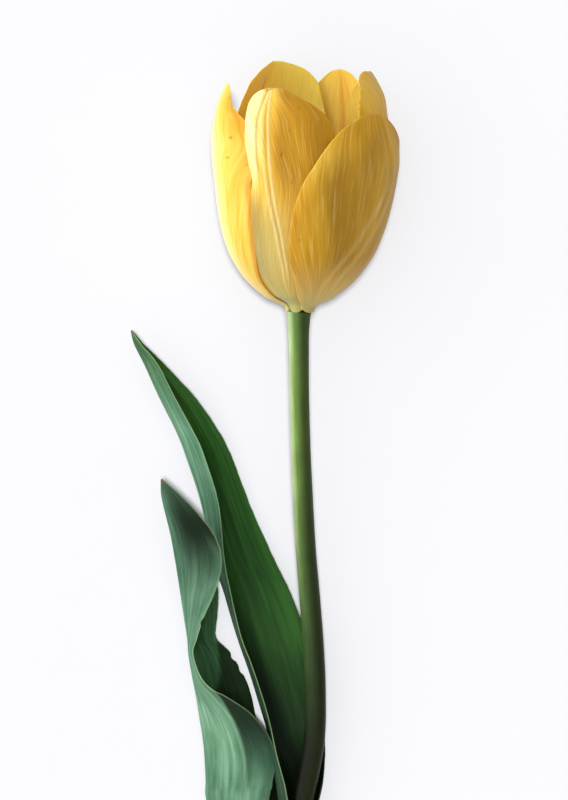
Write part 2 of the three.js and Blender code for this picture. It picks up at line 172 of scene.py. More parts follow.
def set_stops(ramp_node, *stops):
    """Gives a colour ramp its stops, each a place and an sRGB hex colour."""
    ramp = ramp_node.color_ramp
    for element, (place, colour) in zip(ramp.elements, (stops[0], stops[-1])):
        element.position, element.color = place, linear(colour)
    for place, colour in stops[1:-1]:
        ramp.elements.new(place).color = linear(colour)


def add_surface(tree, colour, roughness, patches, height, bump_strength, bump_depth, glow=None, **more):
    """A surface whose roughness wanders with soft patches and whose light is dented by a height.

    A thin sheet also glows through: glow is the share of light and its colour."""
    rough = add_node(tree, "MapRange", {}, {"Value": patches, "From Min": 0.3, "From Max": 0.7,
        "To Min": roughness[0], "To Max": roughness[1]})
    dents = add_node(tree, "Bump", {}, {"Strength": bump_strength, "Distance": bump_depth * MM,
        "Height": height})
    surface = add_node(tree, "BsdfPrincipled", {}, {"Base Color": colour, "Roughness": rough,
        "Normal": dents, **{label.replace("_", " "): value for label, value in more.items()}})
    if glow:
        through_it = add_node(tree, "BsdfTranslucent", {}, {"Color": linear(glow[1]), "Normal": dents})
        surface = add_node(tree, "MixShader", {}, {0: glow[0], 1: surface, 2: through_it})
    add_node(tree, "OutputMaterial", {}, {"Surface": surface})


def mark_points(mesh, **marks):
    """Lets the points of a mesh carry values by name."""
    for label, values in marks.items():
        values = np.asarray(values, np.float32).ravel()
        mesh.attributes.new(label, "FLOAT", "POINT").data.foreach_set("value", values)


def keep_piece(piece, node):
    """The piece moves with the flower's one body, and stands for its CAD piece."""
    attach(piece, "root")
    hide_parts(node)


def new_group(name, inputs):
    """An empty Geometry Nodes tree, with the sockets of its named inputs."""
    tree = bpy.data.node_groups.new(name, "GeometryNodeTree")
    tree.interface.new_socket("Geometry", in_out="INPUT", socket_type="NodeSocketGeometry")
    for label, kind in inputs.items():
        tree.interface.new_socket(label, in_out="INPUT", socket_type="NodeSocket" + kind)
    tree.interface.new_socket("Geometry", in_out="OUTPUT", socket_type="NodeSocketGeometry")
    return tree, add_node(tree, "NodeGroupInput").outputs


def end_group(tree, geometry, material):
    """Ends a tree in real, coated geometry."""
    real = add_node(tree, "GeometryNodeRealizeInstances", {}, {"Geometry": geometry})
    coated = add_node(tree, "GeometryNodeSetMaterial", {}, {"Geometry": real, "Material": material})
    add_node(tree, "NodeGroupOutput", {}, {"Geometry": coated})
    return tree


def sweep_tree():
    """Geometry Nodes: a round body swept along each open line of points, by their own stoutness.

    Each point carries 'stout' (its radius) and 'lobed' (how deep its lobes are).
    """
    tree, given = new_group("sweep_along_path", {"Sides": "Int", "Lobes": "Int", "Fibre Depth": "Float",
        "Material": "Material"})
    line = add_node(tree, "GeometryNodeMeshToCurve", {}, {"Mesh": given["Geometry"]})
    place = add_node(tree, "GeometryNodeSplineParameter").outputs["Factor"]
    line = add_node(tree, "GeometryNodeStoreNamedAttribute", {"data_type": "FLOAT", "domain": "POINT"},
        {"Geometry": line, "Name": "along", "Value": place})
    ring = add_node(tree, "GeometryNodeCurvePrimitiveCircle", {}, {"Resolution": given["Sides"],
        "Radius": 1.0})
    turn = add_node(tree, "GeometryNodeSplineParameter").outputs["Factor"]
    ring = add_node(tree, "GeometryNodeStoreNamedAttribute", {"data_type": "FLOAT", "domain": "POINT"},
        {"Geometry": ring, "Name": "around", "Value": turn})
    stout = add_node(tree, "GeometryNodeInputNamedAttribute", {"data_type": "FLOAT"}, {"Name": "stout"})
    body = add_node(tree, "GeometryNodeCurveToMesh", {}, {"Curve": line, "Profile Curve": ring,
        "Scale": stout.outputs["Attribute"], "Fill Caps": True})
    around = add_node(tree, "GeometryNodeInputNamedAttribute", {"data_type": "FLOAT"}, {"Name": "around"})
    lobed = add_node(tree, "GeometryNodeInputNamedAttribute", {"data_type": "FLOAT"}, {"Name": "lobed"})
    angle = add_node(tree, "Math", {"operation": "MULTIPLY"}, {0: around.outputs["Attribute"],
        1: 2 * math.pi})
    lobes = add_node(tree, "Math", {"operation": "MULTIPLY"}, {0: angle, 1: given["Lobes"]})
    wave = add_node(tree, "Math", {"operation": "COSINE"}, {0: lobes})
    depth = add_node(tree, "Math", {"operation": "MULTIPLY"}, {0: wave, 1: lobed.outputs["Attribute"]})
    position = add_node(tree, "GeometryNodeInputPosition")
    squeezed = add_node(tree, "VectorMath", {"operation": "MULTIPLY"}, {0: position, 1: (1.0, 0.06, 1.0)})
    fibre = add_node(tree, "TexNoise", {"noise_dimensions": "4D"}, {"Vector": squeezed, "Scale": 900.0,
        "Detail": 2.0})
    raised = add_node(tree, "Math", {"operation": "SUBTRACT"}, {0: fibre, 1: 0.5})
    raised = add_node(tree, "Math", {"operation": "MULTIPLY_ADD"}, {0: raised, 1: given["Fibre Depth"],
        2: depth})
    normal = add_node(tree, "GeometryNodeInputNormal")
    offset = add_node(tree, "VectorMath", {"operation": "SCALE"}, {0: normal, "Scale": raised})
    body = add_node(tree, "GeometryNodeSetPosition", {}, {"Geometry": body, "Offset": offset})
    smooth = add_node(tree, "GeometryNodeSetShadeSmooth", {}, {"Geometry": body})
    return end_group(tree, smooth, given["Material"])


def new_object(name, data):
    made = bpy.data.objects.new(name, data)
    bpy.context.scene.collection.objects.link(made)
    return made


def evaluated(name, start_mesh, tree, values):
    """Runs a Geometry Nodes tree on a start mesh and keeps the result as a plain mesh object."""
    start = new_object(name + "_start", start_mesh)
    modifier = start.modifiers.new("nodes", "NODES")
    modifier.node_group = tree
    for item in tree.interface.items_tree:
        if item.item_type == "SOCKET" and item.in_out == "INPUT" and item.name in values:
            modifier[item.identifier] = values[item.name]
    bpy.context.view_layer.update()
    seen = start.evaluated_get(bpy.context.evaluated_depsgraph_get())
    mesh = bpy.data.meshes.new_from_object(seen)
    bpy.data.objects.remove(start)
    mesh.name = name
    if not mesh.materials:
        mesh.materials.append(values["Material"])
    return new_object(name, mesh)


def line_mesh(name, path, radii, lobes=0.0):
    """A mesh of one open line, from its points, their stoutness and the depth of their lobes, in mm."""
    mesh = bpy.data.meshes.new(name)
    mesh.from_pydata(metres(path).tolist(), [(i, i + 1) for i in range(len(path) - 1)], [])
    mark_points(mesh, stout=np.asarray(radii) * MM, lobed=np.broadcast_to(lobes, len(path)) * MM)
    return mesh


# Stalk: live green tissue, smooth and slightly waxed. Fine fibres streak it lengthwise and it turns
# blue-green just under the bloom. Painted shade darkens its lower half to near-black and its right side all
# along, and a painted highlight lightens its upper left side.
stem_skin, tree, spot = new_material("tulip_stalk_waxed_green")
FIBRE_MM = 0.45                # width of a fibre, as coarse as it needs to show
per_metre = 1 / (FIBRE_MM * MM)
streak = add_node(tree, "Mapping", {}, {"Vector": spot, "Scale": (per_metre, 22.0, per_metre)})
fibre = add_node(tree, "TexNoise", {}, {"Vector": streak, "Scale": 0.5, "Detail": 3.0})
mottle = add_node(tree, "TexNoise", {}, {"Vector": spot, "Scale": 140.0, "Detail": 4.0})
along = add_node(tree, "Attribute", {"attribute_name": "along"}).outputs["Fac"]
tint = add_node(tree, "ValToRGB", {}, {"Fac": along})
# Painted shade: the ramp darkens to near-black about a third of the way up from the cut end and stays dark
# through the lower half.
set_stops(tint, (0.0, "3c4c24"), (0.16, "26321a"), (0.3, "040602"), (0.39, "0e150a"), (0.46, "223117"),
    (0.53, "334a23"), (0.64, "455f2b"), (0.8, "64823a"), (0.94, "688840"), (1.0, "5f8142"))
skin = tint
# Painted shade darkens the right side, a painted highlight lightens the upper left side, and the cut end is
# paler.
for label, stain in (("blush", "1d240d"), ("sunny", "bdd0a0"), ("cut", "a7b57e")):
    amount = add_node(tree, "Attribute", {"attribute_name": label}).outputs["Fac"]
    skin = add_node(tree, "Mix", {"data_type": "RGBA"}, {0: amount, 6: skin, 7: linear(stain)}).outputs[2]
light_fibre = add_node(tree, "MapRange", {}, {"Value": fibre, "From Min": 0.3, "From Max": 0.7,
    "To Min": 0.88, "To Max": 1.14})
pale = add_node(tree, "MapRange", {}, {"Value": mottle, "From Min": 0.35, "From Max": 0.7, "To Min": 0.92,
    "To Max": 1.12})
for strength in (light_fibre, pale):
    skin = add_node(tree, "VectorMath", {"operation": "SCALE"}, {0: skin, "Scale": strength})
add_surface(tree, skin, (0.38, 0.52), mottle, fibre, 0.35, 0.2, IOR=1.4, Specular_IOR_Level=0.16,
    Subsurface_Weight=0.15, Subsurface_Radius=(0.6, 1.0, 0.3), Subsurface_Scale=0.0015)

swept = sweep_tree()
stem = evaluated("stem_stalk", line_mesh("stem_path", stem_path, stem_stoutness), swept,
    {"Sides": STEM_SIDES, "Lobes": 0, "Fibre Depth": 0.00012, "Material": stem_skin})
spots = np.zeros(len(stem.data.vertices) * 3, np.float32)
stem.data.vertices.foreach_get("co", spots)
spots = spots.reshape(-1, 3) / MM - PLACE
middle = stem_axis(np.clip(-spots[:, 1] / STEM_LENGTH, 0, 1))
to_right = (spots[:, 0] - middle[:, 0]) / STEM_RADIUS
down = -spots[:, 1] / STEM_LENGTH
# Painted shade: the right side, away from the lamp, is darkened along the whole stalk, a little more low
# down.
shade = ease(-0.8, 0.5, to_right) * (0.78 + 0.1 * ease(0.15, 0.6, down))
# Painted highlight: the upper left side, toward the lamp, is lightened.
light = 0.6 * fade(-1.02, -0.4, to_right) * fade(0.2, 0.46, down)
cut = 0.85 * ease(0.9975, 0.9995, down)
mark_points(stem.data, blush=shade, sunny=light, cut=cut)
keep_piece(stem, "stem")

# ----------------------------------------
# Pistil. One three-sided green ovary that stands on the receptacle, narrowed to a neck and topped
# by a three-lobed stigma whose crest is set with sticky papillae.
# ----------------------------------------
GAP = 0.3                      # between pieces that touch
PISTIL_RADIUS = 2.3
PISTIL_FOOT = RECEPTACLE_HEIGHT + GAP
PISTIL_HEIGHT = BLOOM_HEIGHT * 0.29
PISTIL_STOUTNESS = [[0, 0.42], [0.06, 0.62], [0.25, 0.86], [0.5, 0.9], [0.72, 0.74], [0.82, 0.62],
    [0.88, 0.95], [0.94, 1.25], [0.985, 1.2], [1, 0.7]]
PISTIL_LOBES = [[0, 0], [0.06, 0.03], [0.25, 0.07], [0.5, 0.08], [0.72, 0.08], [0.82, 0.1], [0.88, 0.18],
    [0.94, 0.3], [0.985, 0.34], [1, 0.3]]


def grain_tree():
    """Geometry Nodes: sets small round grains over a body, from one place along it upwards."""
    tree, given = new_group("grains_over_body", {"Grain Radius": "Float",
        "Grains Per Square Metre": "Float", "Starts Along": "Float", "Seed": "Int", "Material": "Material"})
    along_body = add_node(tree, "GeometryNodeInputNamedAttribute", {"data_type": "FLOAT"},
        {"Name": "along"})
    above = add_node(tree, "Math", {"operation": "GREATER_THAN"}, {0: along_body.outputs["Attribute"],
        1: given["Starts Along"]})
    points = add_node(tree, "GeometryNodeDistributePointsOnFaces", {},
        {"Mesh": given["Geometry"], "Selection": above, "Density": given["Grains Per Square Metre"],
        "Seed": given["Seed"]})
    grain = add_node(tree, "GeometryNodeMeshIcoSphere", {}, {"Radius": given["Grain Radius"],
        "Subdivisions": 1})
    size = add_node(tree, "FunctionNodeRandomValue", {"data_type": "FLOAT"},
        {2: 0.6, 3: 1.3, "Seed": given["Seed"]})
    grains = add_node(tree, "GeometryNodeInstanceOnPoints", {}, {"Points": points, "Instance": grain,
        "Scale": size.outputs[1]})
    joined = add_node(tree, "GeometryNodeJoinGeometry")
    tree.links.new(grains.outputs[0], joined.inputs[0])
    tree.links.new(given["Geometry"], joined.inputs[0])
    return end_group(tree, joined, given["Material"])


# Ovary: smooth waxy green tissue, yellower and matt at the papillae of its stigma.
ovary, tree, spot = new_material("tulip_ovary_green")
mottle = add_node(tree, "TexNoise", {}, {"Vector": spot, "Scale": 420.0, "Detail": 4.0})
along_piece = add_node(tree, "Attribute", {"attribute_name": "along"}).outputs["Fac"]
tint = add_node(tree, "ValToRGB", {}, {"Fac": along_piece})
set_stops(tint, (0.0, "c9cf8c"), (0.4, "a3bd6e"), (0.85, "c3cd84"), (1.0, "f0e2a4"))
shadow = add_node(tree, "MapRange", {}, {"Value": mottle, "From Min": 0.35, "From Max": 0.7, "To Min": 0.0,
    "To Max": 0.35})
colour = add_node(tree, "Mix", {"data_type": "RGBA"}, {0: shadow, 6: tint, 7: linear("86a055")}).outputs[2]
add_surface(tree, colour, (0.42, 0.53), mottle, mottle, 0.3, 0.2, IOR=1.4, Subsurface_Weight=0.2,
    Subsurface_Radius=(0.8, 1.0, 0.3), Subsurface_Scale=0.001)

grains = grain_tree()
share = np.linspace(0, 1, 70)
girth = PISTIL_RADIUS * through(PISTIL_STOUTNESS, share)
path = in_bloom(0, 0, PISTIL_FOOT + share * PISTIL_HEIGHT)
body = evaluated("pistil_body", line_mesh("pistil_path", path, girth, girth * through(PISTIL_LOBES, share)),
    swept, {"Sides": 48, "Lobes": 3, "Fibre Depth": 0.00004, "Material": ovary})
pistil = evaluated("seed_pistil", body.data, grains, {"Grain Radius": 0.00013,
    "Grains Per Square Metre": 9.0e6, "Starts Along": 0.9, "Seed": 3, "Material": ovary})
bpy.data.objects.remove(body)
keep_piece(pistil, "pistil")

# ----------------------------------------
# Stamens. Six slender filaments round the pistil, each with a long anther poised on its point.
# A filament is pale fleshy tissue; an anther is four pollen sacs split open and dusted over.
# ----------------------------------------
STAMENS = 6
FILAMENT_RADIUS = 0.55
FILAMENT_RING = 3.3            # mm from the bloom's axis at the foot
FILAMENT_LENGTH = BLOOM_HEIGHT * 0.12
STAMEN_LEAN = 0.36             # mm outwards for each mm up
ANTHER_RADIUS = 1.15
ANTHER_LENGTH = BLOOM_HEIGHT * 0.17
FILAMENT_STOUTNESS = [[0, 1], [0.15, 1.15], [0.6, 1], [1, 0.6]]
ANTHER_STOUTNESS = [[0, 0.42], [0.06, 0.8], [0.3, 0.92], [0.7, 0.87], [0.94, 0.55], [1, 0.25]]

# Filament: moist pale tissue, greener at its foot.
filament_flesh, tree, spot = new_material("tulip_filament_pale")
mottle = add_node(tree, "TexNoise", {}, {"Vector": spot, "Scale": 700.0, "Detail": 3.0})
along_piece = add_node(tree, "Attribute", {"attribute_name": "along"}).outputs["Fac"]
tint = add_node(tree, "Mix", {"data_type": "RGBA"}, {0: along_piece, 6: linear("c6cc86"),
    7: linear("eddf9a")}).outputs[2]
worn = add_node(tree, "MapRange", {}, {"Value": mottle, "To Min": 0.0, "To Max": 0.3})
tint = add_node(tree, "Mix", {"data_type": "RGBA"}, {0: worn, 6: tint, 7: linear("d9c66e")}).outputs[2]
add_surface(tree, tint, (0.41, 0.49), mottle, mottle, 0.3, 0.1, IOR=1.4, Subsurface_Weight=0.25,
    Subsurface_Radius=(1.0, 0.8, 0.3), Subsurface_Scale=0.0008)

# Pollen: dry golden grains that scatter light like velvet.
pollen, tree, spot = new_material("tulip_pollen_golden")
mottle = add_node(tree, "TexNoise", {}, {"Vector": spot, "Scale": 900.0, "Detail": 4.0})
tone = add_node(tree, "MapRange", {}, {"Value": mottle, "From Min": 0.3, "From Max": 0.7})
tint = add_node(tree, "Mix", {"data_type": "RGBA"}, {0: tone, 6: linear("a8741c"),
    7: linear("e2b440")}).outputs[2]
add_surface(tree, tint, (0.84, 0.91), mottle, mottle, 0.5, 0.1, Sheen_Weight=0.3, Sheen_Roughness=0.5)

for k in range(STAMENS):
    turn = 30 + 60 * k
    share = np.linspace(0, 1, 24)
    height = PISTIL_FOOT + share * FILAMENT_LENGTH
    path = in_bloom(FILAMENT_RING + STAMEN_LEAN * (height - PISTIL_FOOT), turn, height)
    filament = evaluated(f"stamen_filament_{k + 1}", line_mesh("filament_path", path,
        FILAMENT_RADIUS * through(FILAMENT_STOUTNESS, share)), swept, {"Sides": 20, "Lobes": 0,
        "Fibre Depth": 0.00003, "Material": filament_flesh})
    keep_piece(filament, f"filament_{k + 1}")
    share = np.linspace(0, 1, 40)
    height = PISTIL_FOOT + FILAMENT_LENGTH + GAP + share * ANTHER_LENGTH
    ring = FILAMENT_RING + STAMEN_LEAN * (height - PISTIL_FOOT)
    path = in_bloom(ring + 0.5 * np.sin(math.pi * share), turn + 3 * np.sin(2 * k + 2 * share), height)
    girth = ANTHER_RADIUS * through(ANTHER_STOUTNESS, share)
    sacs = evaluated("anther_sacs", line_mesh("anther_path", path, girth, girth * 0.16), swept,
        {"Sides": 32, "Lobes": 4, "Fibre Depth": 0.00012, "Material": pollen})
    anther = evaluated(f"stamen_anther_{k + 1}", sacs.data, grains, {"Grain Radius": 0.0001,
        "Grains Per Square Metre": 4.0e6, "Starts Along": -1.0, "Seed": 20 + k, "Material": pollen})
    bpy.data.objects.remove(sacs)
    keep_piece(anther, f"anther_{k + 1}")

# ----------------------------------------
# Tepals. Six thin cupped blades in two rings of three, grown from the receptacle and closed
# over one another, outer ring over inner. Each is one living sheet of soft tissue: two skins of
# velvety cells over veins that fan from its foot to its margin.
# ----------------------------------------
TEPAL_THICKNESS = 0.8
INNER_FOOT_RADIUS = RECEPTACLE_RADIUS + GAP + TEPAL_THICKNESS / 2
LAYER_STEP = TEPAL_THICKNESS + GAP
OUTER_FOOT_RADIUS = INNER_FOOT_RADIUS + LAYER_STEP
FOOT_HEIGHT = -0.4
BELLY = [[0.013, 0.21], [0.045, 0.34], [0.11, 0.55], [0.21, 0.75], [0.33, 0.875], [0.47, 0.955], [0.63, 1],
    [0.74, 0.995], [0.85, 0.955], [0.94, 0.895], [1.02, 0.81]]
# Outlines from foot to tip: [share of the bloom's height, left azimuth, right azimuth].
TEPALS = {"outer_right": dict(layer=0, rows=[[-0.0125, 6, 88], [0.03, -1, 98], [0.08, -5, 103],
    [0.17, -9, 106], [0.26, -10.5, 108], [0.36, -9.5, 108], [0.45, -6.5, 106], [0.53, -2, 103],
    [0.61, 5, 97], [0.68, 12, 88], [0.735, 20, 77], [0.77, 28, 68], [0.795, 37, 58], [0.805, 44, 50]]),
    "outer_left": dict(layer=0, rows=[[-0.0125, -112, -56], [0.035, -127, -54], [0.08, -131, -53.5],
    [0.14, -134, -50], [0.21, -137, -44], [0.29, -139, -41], [0.37, -140, -39.5], [0.45, -139, -39],
    [0.52, -137, -39.7], [0.6, -133, -36.5], [0.68, -128, -33.5], [0.75, -121, -46], [0.8, -116, -56],
    [0.84, -111, -60], [0.88, -105, -63], [0.91, -98, -68], [0.93, -91, -77]]),
    "outer_back": dict(layer=0, rows=[[-0.0053, 120, 198], [0.04, 119, 200], [0.11, 118, 204],
    [0.23, 114, 208], [0.41, 114, 208], [0.6, 117, 204], [0.74, 124, 196], [0.85, 134, 185],
    [0.93, 143, 175], [0.975, 150, 167], [0.99, 157, 160]]), "inner_front": dict(layer=1,
    rows=[[-0.011, -60, 26], [0.05, -60, 28], [0.12, -59, 30], [0.26, -53, 32], [0.38, -46, 32],
    [0.46, -41.5, 30], [0.53, -38.7, 27], [0.6, -40, 24], [0.67, -42.5, 20.5], [0.735, -44, 16.5],
    [0.79, -45, 13], [0.84, -45.5, 3], [0.88, -42.5, -10], [0.905, -36, -18.5], [0.915, -28, -24]]),
    "inner_left": dict(layer=1, rows=[[-0.0053, -192, -118], [0.05, -192, -120], [0.12, -198, -113],
    [0.26, -203, -107], [0.46, -202, -107], [0.66, -197, -113], [0.8, -192, -119], [0.9, -188, -123],
    [0.955, -184, -127.5], [0.99, -177, -132], [1.012, -168, -137], [1.025, -152, -143]]),
    "inner_right": dict(layer=1, rows=[[-0.0053, 60, 132], [0.05, 60, 133], [0.12, 55, 140],
    [0.26, 48, 148], [0.46, 42, 153], [0.66, 38, 153], [0.8, 38, 151], [0.88, 40, 146], [0.92, 43, 140],
    [0.945, 45, 130], [0.965, 50, 112], [0.979, 56, 92], [0.986, 63, 76]]),}
# How far each blade stands out from its ring, in mm, by its share of the height and -1..1 across.
PUSH = {"outer_right": lambda s, a: -1.1 * ease(0.58, 0.78, s), "outer_left": lambda s,
    a: (1.1 * ease(0.5, 0.75, s) - 0.7 * fade(-0.005, 0.06, s) - 0.9 * ease(0.84, 0.95, s)
    - 4.3 * ease(0.53, 0.66, s) * fade(0.76, 0.87, s) * ease(0.35, 1, a)), "outer_back": lambda s, a: 0 * s,
    "inner_front": lambda s, a: (1.1 * ease(0.52, 0.66, s) * ease(-0.3, -1, a)
    - 1.7 * ease(0.3, 0.55, s) * ease(0.1, 1, a)), "inner_left": lambda s, a: -0.4 * ease(0.1, 0.3, s)
    - 0.5 * ease(0.8, 1, s), "inner_right": lambda s, a: (-0.4 * ease(0.1, 0.3, s)
    - 0.9 * ease(0.45, 0.7, s) - 1.2 * ease(0.66, 0.82, s) - 2.0 * ease(0.86, 1, s)),}


def along(rows, t):
    """Smooth rows of numbers at each place t, from 0 at the first row to 1 at the last."""
    rows = np.array(rows, float)
    last = len(rows) - 1
    place = np.clip(np.asarray(t, float), 0, 1) * last
    i = np.minimum(place.astype(int), last - 1)
    f = (place - i)[..., None]
    longer = np.vstack([2 * rows[0] - rows[1], rows, 2 * rows[-1] - rows[-2]])
    a, b, c, d = (longer[i + k] for k in range(4))
    bend = (2 * a - 5 * b + 4 * c - d) * f ** 2 + (3 * b - a - 3 * c + d) * f ** 3
    return 0.5 * (2 * b + (c - a) * f + bend)


def wall_radius(height):
    """Outer surface of the bloom's wall: its radius in mm at a height in mm."""
    belly = BLOOM_RADIUS * through(BELLY, height / BLOOM_HEIGHT)
    return OUTER_FOOT_RADIUS + (belly - OUTER_FOOT_RADIUS) * ease(FOOT_HEIGHT, 4, height)


def tepal_surface(name, u, v, raised=0.0):
    """Middle surface of a blade: u from foot to tip, v from its left to its right margin."""
    blade = TEPALS[name]
    share, left, right = np.moveaxis(along(blade["rows"], u), -1, 0)
    corner = 0.8 if name == "outer_left" else 1.5
    height = share * BLOOM_HEIGHT + corner * (2 * v - 1) ** 2 * fade(-0.005, 0.07, share)
    lean = wall_radius(height + 0.5) - wall_radius(height - 0.5)
    inward = blade["layer"] * LAYER_STEP * (1 + 0.45 * ease(0.03, 0.2, share))
    slant = np.hypot(1, lean)
    out = PUSH[name](share, 2 * v - 1) + raised
    return in_bloom(wall_radius(height) - inward / slant + out, left + (right - left) * v, height
        + inward * lean / slant)


def waves(seed, x, longest, shortest, parts=7):
    """A smooth wandering value round 0 along x, in the units of x, from seeded waves."""
    draw = np.random.default_rng(seed)
    total = 0.0
    for period in np.geomspace(longest, shortest, parts):
        share = (period / longest) ** 0.4
        total += share * np.sin(2 * math.pi * (x / (period * draw.uniform(0.85, 1.15)) + draw.uniform()))
    return total / math.sqrt(parts / 2)


def line(share, azimuth, path, width):
    """1 on a line of (share, azimuth) up a blade, falling away over a width in degrees."""
    return hump(azimuth, through(path, share), width)


def spot_at(share, azimuth, at_share, at_azimuth, tall, wide):
    """1 at a place on a blade, falling away over mm up it and degrees round it."""
    return hump(share * BLOOM_HEIGHT, at_share * BLOOM_HEIGHT, tall) * hump(azimuth, at_azimuth, wide)


# Ribs run up the middle of a blade as pairs of low ridges with a groove between them.
RIB_LEFT = [[0, -21], [0.12, -18.4], [0.29, -20.4], [0.46, -25.3], [0.58, -28], [0.7, -30], [0.82, -31.6],
    [0.9, -29.4]]
RIB_RIGHT = [[0, -17], [0.12, -14], [0.29, -16.2], [0.46, -21], [0.58, -23.6], [0.7, -25.6], [0.82, -27.6],
    [0.9, -28]]
RIB_THIRD = [[0, -12], [0.12, -9], [0.29, -10.5], [0.46, -14.5], [0.58, -17], [0.7, -19], [0.82, -22],
    [0.9, -25]]
FRONT_CREASE = [[0, -30], [0.2, -29], [0.46, -31], [0.6, -32.6], [0.82, -34.6], [0.9, -31.5]]
RIGHT_BAND = [[0, 24], [0.1, 27], [0.22, 30], [0.38, 24], [0.54, 20], [0.7, 30], [0.8, 42]]
RIGHT_RIB_A = [[0, 33], [0.09, 27], [0.26, 40], [0.38, 50.5], [0.5, 60], [0.62, 56], [0.75, 50]]
RIGHT_RIB_B = [[0, 45], [0.09, 40], [0.26, 52], [0.38, 62], [0.5, 70], [0.62, 66], [0.75, 55]]
RIGHT_GROOVE = [[0, 30], [0.09, 31], [0.26, 46], [0.38, 56], [0.5, 64], [0.62, 60], [0.75, 52]]


def relief(name, s, az, a, fan):
    """Ridges, grooves and ripples of one blade, in mm out from its smooth middle surface."""
    seed = 100 + 10 * list(TEPALS).index(name)
    body = ease(0.02, 0.12, s)
    veins = waves(seed, fan * 25 + 0.6 * np.sin(5 * s), 7.0, 1.0, 9)
    swell = waves(seed + 1, fan * 25 + 9 * s, 30.0, 9.0, 4) * np.sin(2.2 * s + 0.4)
    raised = (body * (0.016 * veins * (0.55 + 0.45 * np.sin(7 * s + seed))
        + 0.16 * swell * ease(0.1, 0.35, s)))
    # The margins of the upper part ripple in and out.
    raised += 0.16 * ease(0.35, 0.8, s) * ease(0.7, 1, abs(a)) * waves(seed + 2, s * BLOOM_HEIGHT, 24, 7, 4)
    # Every blade has a middle rib: a groove on its back between two soft shoulders.
    rib = hump(a, 0, 0.045) * -0.22 + (hump(a, -0.1, 0.05) + hump(a, 0.1, 0.05)) * 0.13
    if name == "inner_front":
        grown = ease(0.03, 0.2, s) * (1 - 0.35 * ease(0.86, 0.93, s))
        keel = (through(RIB_LEFT, s) + through(RIB_RIGHT, s)) / 2 + 1
        raised += (grown * (0.24 * line(s, az, RIB_LEFT, 0.72) + 0.28 * line(s, az, RIB_RIGHT, 0.72)
            - 0.2 * line(s, az, FRONT_CREASE, 0.9) * ease(0.3, 0.5, s) + 0.05 * line(s, az, RIB_THIRD, 1.1)
            + 0.75 * hump(az, keel, 9) * ease(0.25, 0.55, s)))
    elif name == "outer_right":
        raised += (body * (-0.45 * line(s, az, RIGHT_BAND, 9) + 0.13 * line(s, az, RIGHT_RIB_A, 3)
            + 0.12 * line(s, az, RIGHT_RIB_B, 3.2) - 0.13 * line(s, az, RIGHT_GROOVE, 2.6)))
    elif name == "outer_left":
        # Its right margin rolls in against the blade beneath it.
        raised = (raised - (1.1 * (1 + 0.45 * ease(0.03, 0.2, s)) - 0.24) * ease(0.6, 0.97, a)
            * fade(0.6, 0.68, s) * ease(0.0, 0.05, s))
    else:
        raised += rib * ease(0.05, 0.25, s) * fade(0.86, 1, s)
    return raised


# Brown specks where a blade was bruised: strength, place, and how tall and wide each is.
SPECKS = {"outer_left": [(1, 0.709, -56.1, 0.28, 1.3), (0.8, 0.63, -58, 0.22, 1.1),
    (0.7, 0.6, -45, 0.22, 1)], "inner_front": [(1, 0.644, -16.9, 0.8, 0.45), (0.8, 0.531, -9.8, 0.7, 0.4),
    (0.7, 0.83, -8, 0.25, 0.9), (0.6, 0.74, -13, 0.25, 0.4)], "outer_right": [(0.4, 0.3, -3, 0.3, 1.6)],}


